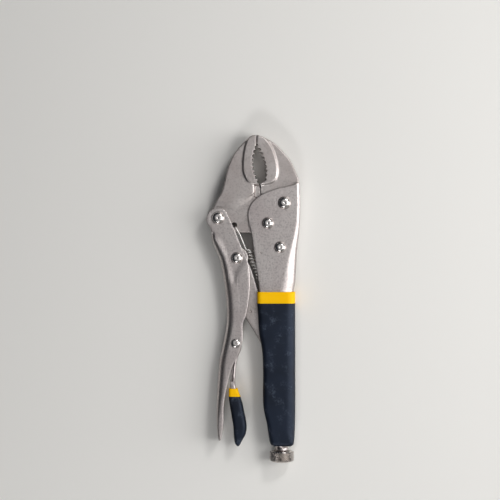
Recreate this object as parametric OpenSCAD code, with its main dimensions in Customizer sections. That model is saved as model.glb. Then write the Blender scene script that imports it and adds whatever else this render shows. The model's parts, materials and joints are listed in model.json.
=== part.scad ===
// Locking pliers, closed and locked, lying flat.
// X across the handles, Y to the jaw tips, Z up from the surface it lies on.
// All sizes in millimetres.

/* [Overall] */
// length from the jaw tips to the end of the knob; scales the side profile
overall_length = 250; // [200:1:310]
// thickness over the handle grip and the rivet heads
overall_thickness = 19.2; // [18.8:0.1:24]

/* [Jaws] */
// thickness of the jaw tangs between the body plates
jaw_thickness = 9; // [7.5:0.1:11]
// how far the shoulders of the jaws stand out from the tangs, each side
shoulder_step = 1.2; // [0.4:0.1:1.6]
// how far the tooth lands stand out from the tangs, each side
land_step = 1.9; // [1:0.1:2.4]
// thickness of the wire cutter's blade
cutter_thickness = 6.4; // [4:0.1:8]
// radius of the moving jaw's round hub
hub_radius = 12; // [10:0.1:14]
// radius of the scalloped tooth notches
notch_radius = 1.35; // [1.2:0.05:2.2]

/* [Sheet] */
// steel sheet of the body
body_sheet = 2; // [1.6:0.1:2.6]
// steel sheet of the lever
lever_sheet = 1.8; // [1.4:0.1:2.4]
// outward step of the lower lever walls
lever_flare = 0.6; // [0.3:0.1:1]

/* [Rivets] */
// shank diameter of the five large rivets
rivet_pin = 7; // [5:0.1:8.4]
// head diameter of the larger rivets
rivet_head_large = 10; // [9:0.1:12]
// head diameter of the smaller rivets
rivet_head_small = 9.1; // [8.8:0.1:11]
// shank diameter of the release lever rivet
release_pin = 4.4; // [3.4:0.1:5.4]
// head diameter of the release lever rivet
release_head = 7.3; // [6.4:0.1:9]
// radial clearance of a turning joint
running_clearance = 0.06; // [0.02:0.01:0.1]
// clearance between flat faces that slide past each other
side_clearance = 0.1; // [0.05:0.05:0.3]

/* [Adjusting screw] */
// shank diameter of the adjusting screw
screw_diameter = 6.6; // [5:0.1:8]
// outside diameter of the rolled neck around the screw
neck_diameter = 9.6; // [9:0.1:12]
// knob diameter
knob_diameter = 18.8; // [15:0.1:18.8]
// knob length
knob_length = 8.4; // [6:0.1:12]

/* [Spring] */
// spring wire
wire = 1.1; // [0.7:0.05:1.4]
// outside diameter of the coils
coil_diameter = 5; // [4:0.1:5.6]

/* [Hidden] */
$fn = 64;
s = overall_length / 250;
mid = overall_thickness / 2;
gap = jaw_thickness / 2 + side_clearance;
body_half = gap + body_sheet;
lever_half = gap + lever_sheet;
flare_half = lever_half + lever_flare;
link_half = jaw_thickness / 2 - 0.2;
web_half = link_half - 1.3;
release_half = gap + lever_flare - 0.3;
// the tail is narrow enough to sink into the lever's channel with its vinyl on
tail_half = release_half - 1.3;
pin_r = rivet_pin / 2;
hole_r = pin_r + 0.03;
turn_r = pin_r + running_clearance;
// pivots: jaw on body, jaw on lever, lever on link, release lever on lever
jaw_at = [11.1, 57.7] * s;
lever_at = [-26.9, 61.7] * s;
link_at = [-12.5, 31.1] * s;
release_at = [-13.6, -34] * s;
// fixed jaw rivets, spring hole in the jaw, spring anchor in the body
fix_a = [23.7, 73.2] * s;
fix_b = [20.5, 39.3] * s;
hook_at = [-14.5, 56.2] * s;
hook_hole = 2.2;
anchor_at = [11, -1] * s;
coil_at = [-3.3, 36.9] * s;
// screw axis, its tip, the knob's lower end, the neck's lower end
screw_x = 21.9 * s;
tip_y = -56 * s;
knob_y = -125 * s;
neck_y = knob_y + knob_length + 0.2;
steel = [0.58, 0.55, 0.55];
black = [0.12, 0.13, 0.16];
yellow = [0.98, 0.75, 0.05];

// outlines, clockwise from the top, at the 250 mm size
spine = [[35.6, 87.8], [35.9, 75.6], [35.9, 67.9], [35.1, 52.5], [33.6, 37.2],
    [32.8, 21.9], [32.1, 12], [31, 5], [30.6, -5], [30.6, -60], [30.4, -85],
    [29.8, -103]];
body_left = [[26.9, -111.5], [17.3, -111.5], [14.3, -109.3], [13.2, -103.2],
    [12.1, -94.7], [9.9, -86.3], [9.2, -79.4], [9.2, -54.8], [8.6, -39.5],
    [5.6, -23.4], [4.9, -3.5], [4.7, 6.1], [3.3, 17], [1.6, 27.8], [-0.1, 39.4],
    [-1.7, 50.2], [-3.4, 57.8], [-4.3, 64.4], [-3, 70.2], [0.7, 75.6],
    [6.2, 79.4], [17.4, 84], [29.9, 86.2], [34, 88.9]];
lever_left = [[-31.6, 49], [-31.3, 44.9], [-28.6, 37.2], [-25.5, 29.5],
    [-22.4, 14.2], [-20.5, -1.2], [-20.1, -16.5], [-22.4, -31.8],
    [-25.5, -47.2], [-27, -62.5], [-27.8, -85.5], [-27.6, -97],
    [-26.7, -106.2], [-26.3, -108.5]];
lever_right = [[-25, -108.5], [-23.6, -102.8], [-22.7, -82.8], [-20.1, -67.1],
    [-16.5, -52.9], [-11.2, -42.2], [-8.2, -31.8], [-8.2, -18.8],
    [-5.8, -13.4], [-3.8, -3.1], [-2.9, 3.8], [-2.9, 20.3], [-4.2, 29],
    [-9.2, 39.8], [-13.6, 51.2], [-17.4, 58.2], [-19.4, 65.5]];

function grown(pts) = [for (p = pts) p * s];
function inset(pts, d) = [for (p = pts) [p[0] * s + d, p[1] * s]];
function turned(pts) = [for (i = [len(pts) - 1:-1:0]) pts[i]];
// tooth lines of the two jaws
function left_tooth(y) = -1.35 + 0.0185 * pow(y - 104, 2);
function right_tooth(y) = 10.5 - 0.0165 * pow(y - 96.5, 2);

module slab(half) {
    translate([0, 0, mid - half]) linear_extrude(2 * half) children();
}

module pin(at, r, half) {
    translate([at[0], at[1], mid - half]) cylinder(r = r, h = 2 * half);
}

module along_y(x, y0, y1, r) {
    translate([x, y0, mid]) rotate([-90, 0, 0]) cylinder(r = r, h = y1 - y0);
}

module bar(a, b, d) {
    v = b - a;
    h = norm(v);
    translate(a) rotate([0, acos(v[2] / h), atan2(v[1], v[0])])
        cylinder(d = d, h = h, $fn = 16);
}

// a rivet whose heads sit on faces at +-seat and rise to +-top
module rivet(at, r, head, seat, top) {
    rise = top - seat;
    ball = (head * head / 4 + rise * rise) / (2 * rise);
    pin(at, r, seat + 0.01);
    for (side = [-1, 1]) intersection() {
        translate([at[0], at[1], mid + side * (top - ball)]) sphere(r = ball);
        translate([at[0] - head, at[1] - head, side > 0 ? mid + seat : mid - seat - head])
            cube([2 * head, 2 * head, head]);
    }
}

module body_side() polygon(grown(concat(spine, body_left)));

module body_channel() {
    far = -40 * s;
    polygon(concat([[far, 100 * s], [spine[0][0] * s - body_sheet, 100 * s]],
        inset(spine, -body_sheet), [[far, -103 * s]]));
}

module body_shell() color(steel) difference() {
    union() {
        slab(body_half) body_side();
        along_y(screw_x, neck_y, -105 * s, neck_diameter / 2);
    }
    slab(gap) body_channel();
    pin(fix_a, hole_r, mid);
    pin(fix_b, hole_r, mid);
    pin(jaw_at, hole_r, mid);
    pin(anchor_at, 1.42, mid);
    along_y(screw_x, knob_y, -90 * s, screw_diameter / 2 + running_clearance);
}

module fixed_side() {
    edge = [for (i = [0:9]) let (y = 117.2 - i * 3.25) [right_tooth(y) - 1.1, y]];
    difference() {
        polygon(concat(grown(concat([[2.3, 117.2]], [for (i = [1:9]) edge[i]],
            [[6, 86.6], [6, 80], [8.5, 71], [11, 44], [14, 43], [15, 31.5],
            [29.8, 31.5]])), turned(inset([[35.6, 88.9], [35.9, 75.6], [35.9, 67.9], [35.1, 52.5],
            [33.6, 37.2]], -body_sheet - 0.05)), grown([[35.4, 89.2], [33.6, 94],
            [30.5, 100.9], [28.2, 105.5], [24.4, 110.1], [20.5, 114.7],
            [17.4, 117], [11.3, 121.6], [5.9, 123.9], [4.6, 124.6],
            [2.3, 125]])));
        translate(jaw_at) circle(r = hub_radius + 0.4);
        for (i = [0:8]) let (y = 116.8 - i * 3.22)
            translate([right_tooth(y) * s - notch_radius, y * s])
                circle(r = notch_radius);
    }
}

module fixed_jaw() color(steel) difference() {
    union() {
        slab(jaw_thickness / 2) fixed_side();
        slab(jaw_thickness / 2 + shoulder_step) intersection() {
            fixed_side();
            polygon(grown([[2, 87], [8.2, 86.8], [33.4, 91.2], [40, 92],
                [40, 130], [2, 130]]));
        }
        slab(jaw_thickness / 2 + land_step) intersection() {
            fixed_side();
            polygon(grown([[2, 117.2], [2, 119.5], [10.2, 121], [13.4, 115.9],
                [16.2, 110.1], [18.1, 103.8], [18.4, 97.4], [17.1, 91],
                [14.9, 88.5], [8.9, 87.4], [2, 87]]));
        }
    }
    pin(fix_a, hole_r, mid);
    pin(fix_b, hole_r, mid);
}

module moving_side() {
    edge = [for (i = [0:8]) let (y = 88.2 + i * 3.32) [left_tooth(y) + 1.1, y]];
    difference() {
        union() {
            polygon(grown(concat([[1.9, 125], [-0.5, 124.7], [-2.5, 123.9],
                [-7.1, 119.3], [-11.7, 114.7], [-14.8, 110.1], [-17.1, 105.5],
                [-19.4, 100.9], [-20.9, 94], [-22.4, 87.1], [-24.7, 80.2],
                [-27.8, 75.6], [-33.2, 67.1], [-27.4, 53.4], [-21, 50.8],
                [1.4, 50.6], [8, 60], [5.6, 72], [5.6, 86.8], [4.6, 87.6]],
                edge, [[1.9, 115.2]])));
            translate(jaw_at) circle(r = hub_radius);
            translate(lever_at) circle(r = 8.3 * s);
        }
        for (i = [0:8]) let (y = 115.3 - i * 3.25)
            translate([left_tooth(y) * s + notch_radius, y * s])
                circle(r = notch_radius);
    }
}

module moving_jaw() color(steel) difference() {
    union() {
        slab(jaw_thickness / 2) moving_side();
        slab(jaw_thickness / 2 + shoulder_step) intersection() {
            moving_side();
            polygon(grown([[-40, 73], [-22, 72.2], [-18, 71.2], [-12.2, 72.6],
                [-6.3, 76], [0.2, 79.8], [0.2, 87], [6, 87], [6, 130],
                [-40, 130]]));
        }
        slab(jaw_thickness / 2 + land_step) intersection() {
            moving_side();
            polygon(grown([[2, 119.5], [-5.4, 119.7], [-7.3, 110.1],
                [-7.8, 103.8], [-7.7, 97.4], [-6.3, 92.7], [-4.1, 89.2],
                [-0.3, 87.9], [6, 87.5], [6, 117]]));
        }
    }
    // the wire cutter's blade is thinner than the tang
    translate([0.8 * s, 77 * s, mid + cutter_thickness / 2]) cube([6 * s, 9.4 * s, 5]);
    translate([0.8 * s, 77 * s, mid - cutter_thickness / 2 - 5]) cube([6 * s, 9.4 * s, 5]);
    pin(jaw_at, turn_r, mid);
    pin(lever_at, turn_r, mid);
    pin(hook_at, hook_hole, mid);
}

module lever_side() {
    polygon(grown(concat([[-35.4, 60], [-34.2, 57.1], [-31.8, 51.8]], lever_left,
        lever_right)));
    translate(lever_at) circle(r = 9 * s);
}

module lever_upper() polygon(grown([[-45, 80], [-45, 46.5], [-31.8, 46.5],
    [-24.9, 44.3], [-14.5, 11], [-12.2, 19.8], [-8, 27], [0, 33], [0, 80]]));

module lever_handle() color(steel) difference() {
    union() {
        slab(lever_half) lever_side();
        slab(flare_half) difference() {
            lever_side();
            lever_upper();
        }
    }
    // open channel behind the spine, wide open above it
    slab(gap) polygon(concat(inset(lever_left, lever_sheet),
        grown([[10, -120], [10, 80], [-45, 80], [-45, 49]])));
    slab(gap + lever_flare) difference() {
        polygon(concat(inset(lever_left, lever_sheet),
            grown([[10, -120], [10, 49]])));
        lever_upper();
    }
    pin(lever_at, hole_r, mid);
    pin(link_at, hole_r, mid);
    pin(release_at, release_pin / 2 + 0.03, mid);
}

module link_side() polygon(grown([[-5.2, 33], [-3.4, 28.2], [2.4, 10],
    [6.5, -2], [14, -22], [21, -38], [27.6, -50], [27.6, -55], [25.4, -56.5],
    [18.4, -56.5], [15.4, -54], [12, -45], [5.6, -33.7], [-1, -22.6],
    [-5.6, -15], [-8, -9], [-12, 0], [-15.5, 10], [-19.6, 28], [-15, 33]]));

module toggle_link() color(steel) difference() {
    union() {
        pin(link_at, 7.8 * s, link_half);
        slab(web_half) link_side();
        // full thickness at the screw end
        slab(link_half) intersection() {
            link_side();
            polygon(grown([[10, -46], [30, -42], [30, -60], [10, -60]]));
        }
    }
    // saddle for the screw's tip
    pin([screw_x, -55.2 * s], 3.5 * s, mid);
    translate([screw_x - 3.45 * s, -60 * s, 0])
        cube([6.9 * s, 4.9 * s, overall_thickness]);
    pin(link_at, turn_r, mid);
}

module release_side() polygon(grown([[-12.6, -15.6], [-9.4, -15.2],
    [-8.7, -18], [-8.6, -31], [-9.2, -38], [-11.8, -45], [-13.2, -53],
    [-13.8, -64], [-13, -70], [-10.4, -80], [-8.2, -92], [-7.4, -98.6],
    [-8.6, -104], [-11, -108.6], [-12.6, -107], [-13.4, -98], [-15.4, -86],
    [-16.8, -75], [-17.6, -66], [-17.2, -53], [-18.5, -38], [-18.4, -31],
    [-15.2, -22]]));

module release_lever() color(steel) difference() {
    union() {
        slab(tail_half) release_side();
        slab(release_half) intersection() {
            release_side();
            polygon(grown([[-40, 0], [10, 0], [10, -62], [-40, -62]]));
        }
    }
    // folded sheet, open to the lever
    slab(tail_half - 1) polygon(grown([[-30, -24], [-17.6, -24], [-16.5, -29],
        [-16.2, -40], [-15.6, -52], [-15.8, -60], [-30, -60]]));
    pin(release_at, release_pin / 2 + running_clearance, mid);
}

module fixed_jaw_rivet_upper() color(steel)
    rivet(fix_a, pin_r, rivet_head_large, body_half, mid);

module fixed_jaw_rivet_lower() color(steel)
    rivet(fix_b, pin_r, rivet_head_small, body_half, mid);

module jaw_pivot_rivet() color(steel)
    rivet(jaw_at, pin_r, rivet_head_small, body_half, mid);

module lever_pivot_rivet() color(steel)
    rivet(lever_at, pin_r, rivet_head_large, lever_half, mid - 0.6);

module link_pivot_rivet() color(steel)
    rivet(link_at, pin_r, rivet_head_small, lever_half, mid - 0.6);

module release_pivot_rivet() color(steel)
    rivet(release_at, release_pin / 2, release_head, flare_half, flare_half + 1.2);

module return_spring() color(steel) {
    run = anchor_at - coil_at;
    long = norm(run);
    end_r = 1.4 + wire / 2 + 0.15;
    coil_long = long - end_r - 1.2;
    top = [coil_at[0], coil_at[1], mid];
    turn = atan2(run[1], run[0]);
    // close coils along the axis, drawn as ridges on a tube
    pitch = coil_long / 20;
    crest = [for (i = [0:19]) [coil_diameter / 2, (i + 0.5) * pitch]];
    valley = [for (i = [0:20]) [coil_diameter / 2 - 0.4, i * pitch]];
    ridges = [for (i = [0:40]) i % 2 == 0 ? valley[i / 2] : crest[(i - 1) / 2]];
    bore = coil_diameter / 2 - wire;
    translate(top) rotate([0, 90, turn]) rotate_extrude($fn = 32)
        polygon(concat([[bore, 0]], ridges, [[bore, coil_long]]));
    // loop round the anchor pin
    way = [run[0] / long, run[1] / long, 0];
    out = [way[1], -way[0], 0] * (coil_diameter - wire) / 2;
    anchor = [anchor_at[0], anchor_at[1], mid];
    translate(anchor) rotate_extrude($fn = 24) translate([end_r, 0])
        circle(d = wire, $fn = 16);
    bar(anchor - end_r * way, top + (coil_long - 0.8) * way + out, wire - 0.06);
    // straight hook over the face of the jaw, down through the hole's rim
    pull = (coil_at - hook_at) / norm(coil_at - hook_at);
    eye_at = hook_at + (hook_hole - wire / 2 - 0.05) * pull;
    over_at = hook_at + 9 * s * pull;
    face = mid + jaw_thickness / 2 + wire / 2 + 0.1;
    over = [over_at[0], over_at[1], face];
    eye = [eye_at[0], eye_at[1], face];
    bar(top + 0.8 * way + out, over, wire);
    bar(over, eye, wire);
    bar(eye, [eye_at[0], eye_at[1], mid - 1], wire);
    translate(over) sphere(d = wire + 0.12, $fn = 16);
    translate(eye) sphere(d = wire + 0.12, $fn = 16);
}

module spring_anchor_pin() color(steel) pin(anchor_at, 1.4, body_half);

module adjusting_screw() color(steel) {
    along_y(screw_x, knob_y + 1, -63 * s, screw_diameter / 2);
    along_y(screw_x, -63.1 * s, tip_y, 1.6);
}

module knurled_knob() color(steel) difference() {
    translate([screw_x, knob_y, mid]) rotate([-90, 0, 0]) rotate_extrude()
        polygon([[0, 0], [knob_diameter / 2 - 1.6, 0], [knob_diameter / 2 - 0.5, 0.5],
            [knob_diameter / 2, 1.6], [knob_diameter / 2, knob_length - 0.8],
            [knob_diameter / 2 - 0.8, knob_length], [0, knob_length]]);
    along_y(screw_x, knob_y + 1 - 0.01, knob_y + knob_length + 1, screw_diameter / 2 + 0.03);
}

module handle_grip() color(black) difference() {
    slab(mid) polygon(grown([[3, -3.6], [4, -23.4], [6.9, -39.5], [7.5, -54.8],
        [7.5, -79.4], [8.2, -86.3], [10.4, -94.7], [11.5, -103.2],
        [12.5, -109.3], [14.1, -111.8], [16.6, -112.6], [28.6, -112.6],
        [30.6, -111.4], [31.2, -108.5], [31.7, -103.2], [32.2, -85],
        [32.2, -40], [32.1, -3.6]]));
    slab(body_half) body_side();
    slab(gap) body_channel();
    along_y(screw_x, -115 * s, -104 * s, neck_diameter / 2 + 0.03);
}

module handle_grip_collar() color(yellow) difference() {
    slab(mid - 0.7) polygon(grown([[3, -3.6], [32.1, -3.6], [32.1, 5.2], [2.9, 5.2]]));
    slab(body_half) body_side();
    slab(gap) body_channel();
}

module release_grip() color(black) difference() {
    slab(release_half + 0.1) polygon(grown([[-18.8, -74.9], [-18.3, -79.9],
        [-16.8, -88.6], [-15.3, -97.6], [-14.8, -106.2], [-14.2, -109.8],
        [-11.5, -113.1], [-10.3, -112.2], [-8.9, -109.3], [-5.9, -103.9],
        [-5, -98.6], [-5.9, -91.7], [-7.1, -85.8], [-8.3, -79.9],
        [-9.3, -74.9]]));
    slab(tail_half) release_side();
}

module release_grip_collar() color(yellow) difference() {
    slab(release_half - 0.1) polygon(grown([[-18.8, -74.9], [-9.9, -74.9],
        [-12, -68.8], [-18.8, -68.8]]));
    slab(tail_half) release_side();
}

body_shell();
fixed_jaw();
moving_jaw();
lever_handle();
toggle_link();
release_lever();
fixed_jaw_rivet_upper();
fixed_jaw_rivet_lower();
jaw_pivot_rivet();
lever_pivot_rivet();
link_pivot_rivet();
release_pivot_rivet();
return_spring();
spring_anchor_pin();
adjusting_screw();
knurled_knob();
handle_grip();
handle_grip_collar();
release_grip();
release_grip_collar();
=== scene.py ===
"""Locking pliers lying on a pale studio floor, closed and locked.

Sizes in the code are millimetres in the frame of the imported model, and become
metres when a mesh is written.
"""

import json
import math

import bmesh
import bpy
import numpy as np
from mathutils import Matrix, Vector
from mathutils.geometry import delaunay_2d_cdt


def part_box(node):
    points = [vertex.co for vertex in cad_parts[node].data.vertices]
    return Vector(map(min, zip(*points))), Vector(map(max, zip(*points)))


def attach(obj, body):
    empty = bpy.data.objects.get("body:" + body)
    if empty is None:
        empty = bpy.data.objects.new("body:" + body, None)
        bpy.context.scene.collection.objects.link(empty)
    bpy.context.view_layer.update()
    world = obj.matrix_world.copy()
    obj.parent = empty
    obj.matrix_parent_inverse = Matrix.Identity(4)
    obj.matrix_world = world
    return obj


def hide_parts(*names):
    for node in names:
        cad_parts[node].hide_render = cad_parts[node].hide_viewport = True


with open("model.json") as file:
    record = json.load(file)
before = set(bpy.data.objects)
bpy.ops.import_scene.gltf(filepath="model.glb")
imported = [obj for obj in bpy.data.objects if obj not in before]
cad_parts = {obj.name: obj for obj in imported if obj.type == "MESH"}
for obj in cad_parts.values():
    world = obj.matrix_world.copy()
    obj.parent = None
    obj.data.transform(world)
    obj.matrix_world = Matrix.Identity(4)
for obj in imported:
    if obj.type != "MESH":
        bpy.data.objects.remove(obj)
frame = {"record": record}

bl_info = {
    "name": "Locking Pliers",
    "version": (1, 0, 0),
    "blender": (4, 5, 0),
    "location": "View3D > Sidebar > Pliers",
    "description": "Builds locking pliers with toothed jaws and dipped grips",
    "category": "Add Mesh",
}

MM = 0.001


def node_box(name):
    low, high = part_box(name)
    return np.array(low) / MM, np.array(high) / MM


def node_centre(name):
    low, high = node_box(name)
    return (low + high) / 2


def hinge_at(name):
    """A hinge's place, in millimetres."""
    for joint in frame["record"]["behaviour"]["joints"]:
        if joint["name"] == name:
            return np.array(joint["pos_m"]) / MM
    raise ValueError("no joint " + name)


MID = float(node_centre("handle_grip")[2])
JAW_AT = hinge_at("jaw_pivot")[:2]
LEVER_AT = hinge_at("lever_pivot")[:2]
LINK_AT = hinge_at("link_pivot")[:2]
HOOK_AT = hinge_at("spring_swing")[:2]
SCREW_AT = hinge_at("knob_turn")

# sizes that several pieces share
JAW_HALF = 4.6  # half the thickness of a jaw's tang and hub
SHOULDER_RISE = 1.1  # from the tang up to the jaw's shoulder
LAND_RISE = 0.9  # from the shoulder up to the raised land round the teeth
BODY_HALF = 6.6
BODY_SHEET = 2.0
LEVER_HALF = 7.0
LEVER_SHEET = 1.8
VEE_DROP = 0.45  # from the lever's lower level to the level round its rivets
LINK_HALF = 3.0
LINK_BOSS = 1.3
DIMPLE_DEPTH = 0.6
STRIP_SHEET = 1.3
GRIP_HALF = 9.6
COLLAR_HALF = 8.9
GRIP_CROWN = 0.35  # how far the grip falls from its middle to its edges
LIP_HALF = 4.4  # where the grip's lip stops inside the channel
PADDLE_HALF = 5.0
PADDLE_BAND_HALF = 4.75
SMALL_RIVET = "release_pivot_rivet"
PIN_R = 3.5
SMALL_PIN_R = 2.2
PIN_HALF = 6.5
HEAD_SEATS = {"body": BODY_HALF, "lever": 6.4}
WIRE_R = 1.1 / 2
COIL_WIRE_R = 1.25 / 2  # drawn thicker than the hook, so that the turns show
COIL_R = 5.0 / 2
KNURL_DEPTH = 0.76  # from the points of the knob's diamonds to the floor of the cuts
FOLD_MAX = 6.3  # a fold wider than this is flatter than a circle
TOOTH_R = 1.35
TOOTH_RISE = 1.1
FIXED_PITCH = 3.22
MOVING_PITCH = 3.25
TEETH = 9

# how a flat mesh is laid out
RING_SHARES = (0.04, 0.14, 0.3, 0.52, 0.76, 1.0)  # rings across an edge, as shares of its radius
NARROW_SHARES = (0.14, 0.52, 1.0)  # the rings that a narrow edge needs
WIDE_EDGE = 0.8
ROW_HEIGHT = 0.866  # of the grid, for triangles with even sides
THIN = 0.02


# ---------------------------------------------------------------- outlines


def smoothed(points, step):
    """A round curve through the points, in even steps."""
    p = np.array(points, float)
    if len(p) > 2:
        knots = np.concatenate(
            [[0], np.cumsum(np.linalg.norm(np.diff(p, axis=0), axis=1) ** 0.5)]
        )
        slope = np.zeros_like(p)
        gaps = np.diff(knots)[:, None]
        chord = np.diff(p, axis=0) / gaps
        slope[1:-1] = (chord[:-1] * gaps[1:] + chord[1:] * gaps[:-1]) / (
            gaps[1:] + gaps[:-1]
        )
        slope[0], slope[-1] = chord[0], chord[-1]
        fine = []
        for i in range(len(p) - 1):
            t = np.linspace(0, 1, 24, endpoint=False)[:, None]
            h = gaps[i]
            fine.append(
                (2 * t**3 - 3 * t**2 + 1) * p[i]
                + (t**3 - 2 * t**2 + t) * h * slope[i]
                + (-2 * t**3 + 3 * t**2) * p[i + 1]
                + (t**3 - t**2) * h * slope[i + 1]
            )
        p = np.vstack(fine + [p[-1:]])
    run = np.concatenate([[0], np.cumsum(np.linalg.norm(np.diff(p, axis=0), axis=1))])
    at = np.linspace(0, run[-1], max(2, int(math.ceil(run[-1] / step)) + 1))
    return np.column_stack([np.interp(at, run, p[:, k]) for k in (0, 1)])


def arc(centre, radius, start, end, step=0.8):
    """Points on a circle from one angle to another, in degrees."""
    n = max(3, int(abs(math.radians(end - start)) * radius / step) + 1)
    a = np.radians(np.linspace(start, end, n))
    return np.column_stack([centre[0] + radius * np.cos(a), centre[1] + radius * np.sin(a)])


def nearest(points, line):
    """Distance from each point to a polyline, and the nearest place on it, counted in segments."""
    points, line = np.asarray(points, float), np.asarray(line, float)
    a, b = line[:-1], line[1:]
    ab = b - a
    length2 = np.maximum((ab**2).sum(1), 1e-12)
    best, along = np.full(len(points), 1e9), np.zeros(len(points))
    for low in range(0, len(points), 1500):
        p = points[low : low + 1500, None, :]
        t = np.clip(((p - a) * ab).sum(2) / length2, 0, 1)
        d = np.linalg.norm(p - (a + t[..., None] * ab), axis=2)
        k = d.argmin(1)
        rows = np.arange(len(k))
        best[low : low + 1500] = d[rows, k]
        along[low : low + 1500] = k + t[rows, k]
    return best, along


def inside(points, loop):
    """Which points lie inside a closed loop."""
    x, y = np.asarray(points, float).T
    odd = np.zeros(len(x), bool)
    for (x0, y0), (x1, y1) in zip(loop, np.roll(loop, -1, axis=0)):
        if y0 != y1:
            odd ^= ((y0 > y) != (y1 > y)) & (x < (x1 - x0) * (y - y0) / (y1 - y0) + x0)
    return odd


def depth(points, loop):
    """Signed distance to a closed loop, positive inside."""
    d = nearest(points, np.vstack([loop, loop[:1]]))[0]
    return np.where(inside(points, loop), d, -d)


def ease(x, low, high):
    t = np.clip((x - low) / (high - low), 0, 1)
    return t * t * (3 - 2 * t)




class Run:
    """A stretch of an outline: its curve, its edge radius, and its wall.

    wall is "through" for a wall to the other face, "ledge" for one that stops
    short of the middle, and None for an open rim. edge is a radius, or a
    function of the points along the curve.
    """

    def __init__(self, points, edge=0.3, wall="through", step=1.0, soft=True):
        self.points = smoothed(points, step) if soft else np.array(points, float)
        self.edge = (
            edge(self.points)
            if callable(edge)
            else np.full(len(self.points), float(edge))
        )
        self.wall = wall


def rounding(points, runs):
    """How far rounded edges put each point under the flat face, and which way it leans there."""
    down, lean = np.zeros(len(points)), np.zeros((len(points), 2))
    for run in runs:
        d, along = nearest(points, run.points)
        steps = np.arange(len(run.edge))
        r = np.maximum(np.interp(along, steps, run.edge), 1e-6)
        side = np.gradient(run.points, axis=0)[:, ::-1] * (1, -1)
        side /= np.linalg.norm(side, axis=1)[:, None]
        out = np.column_stack([np.interp(along, steps, side[:, k]) for k in (0, 1)])
        share = np.clip((r - d) / r, 0, 1)
        deep = np.minimum(r, FOLD_MAX)
        level = np.sqrt(1 - share**2)
        tilt = np.hypot(share / r, level / deep)
        fall = deep * (1 - level)
        more = fall > down
        down[more] = fall[more]
        lean[more] = (out * (share / r / tilt)[:, None])[more]
    return down, lean


def mesh_points(loop, edge, extra, grid):
    """Points for the flat mesh: rings along rounded edges, the extra lines, and an even fill."""
    n = len(loop)
    after, before = np.roll(loop, -1, axis=0), np.roll(loop, 1, axis=0)
    inward = np.column_stack([before[:, 1] - after[:, 1], after[:, 0] - before[:, 0]])
    inward /= np.maximum(np.linalg.norm(inward, axis=1), 1e-9)[:, None]
    closed = np.vstack([loop, loop[:1]])
    rings, reach = [], []
    for share in RING_SHARES:
        used = (edge > WIDE_EDGE) | (share in NARROW_SHARES)
        rings.append((loop + inward * (edge * share)[:, None])[used])
        reach.append((edge * share)[used])
    for line in extra:
        rings.append(np.asarray(line, float))
        reach.append(np.full(len(line), 0.45))
    ring, reach = np.vstack(rings), np.concatenate(reach)
    gap = nearest(ring, closed)[0]
    ring = ring[inside(ring, loop) & (gap > np.maximum(reach * 0.93, THIN))]
    low, high = loop.min(0), loop.max(0)
    rows = []
    for j, y in enumerate(np.arange(low[1], high[1], grid * ROW_HEIGHT)):
        x = np.arange(low[0] + (j % 2) * grid / 2, high[0], grid)
        rows.append(np.column_stack([x, np.full(len(x), y)]))
    fill = np.vstack(rows)
    fill = fill[inside(fill, loop)]
    gap, along = nearest(fill, closed)
    fill = fill[gap > edge[along.astype(int) % n] + 0.35 * grid]
    if extra:
        cell_size = 0.5 * grid
        taken = {tuple(c) for c in np.round(np.vstack(extra) / cell_size).astype(int)}
        cells = np.round(fill / cell_size).astype(int)
        fill = np.array([p for p, cell in zip(fill, cells) if tuple(cell) not in taken])
    return np.vstack([loop, ring, fill])


def triangulated(points, loop):
    """Points, the place of each outline point among them, and triangles turned anticlockwise."""
    n = len(loop)
    ends = [(i, (i + 1) % n) for i in range(n)]
    out, _, tris, came, _, _ = delaunay_2d_cdt(
        [tuple(p) for p in points], ends, [], 1, 1e-6, True
    )
    flat = np.array([tuple(p) for p in out])
    order = np.zeros(n, int)
    for k, origins in enumerate(came):
        for i in origins:
            if i < n:
                order[i] = k
    tris = np.array([t for t in tris if len(t) == 3])
    tris = tris[inside(flat[tris].mean(1), loop)]
    a, b, c = (flat[tris[:, k]] for k in range(3))
    ab, ac = b - a, c - a
    turn = ab[:, 0] * ac[:, 1] - ab[:, 1] * ac[:, 0]
    tris[turn < 0] = tris[turn < 0][:, ::-1]
    return flat, order, tris


def hollowed(verts, faces, skin, away, sheet):
    """Bent sheet: the faces, a second layer one sheet thickness inside, and a rim between them."""
    total = len(verts)
    verts = np.vstack([verts, skin - away * sheet])
    edges = {(p, q) for face in faces for p, q in zip(face, face[1:] + face[:1])}
    inner = [tuple(total + i for i in face[::-1]) for face in faces]
    open_edges = sorted((p, q) for p, q in edges if (q, p) not in edges)
    rim = [(q, p, p + total, q + total) for p, q in open_edges]
    return verts, faces + inner + rim


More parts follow.
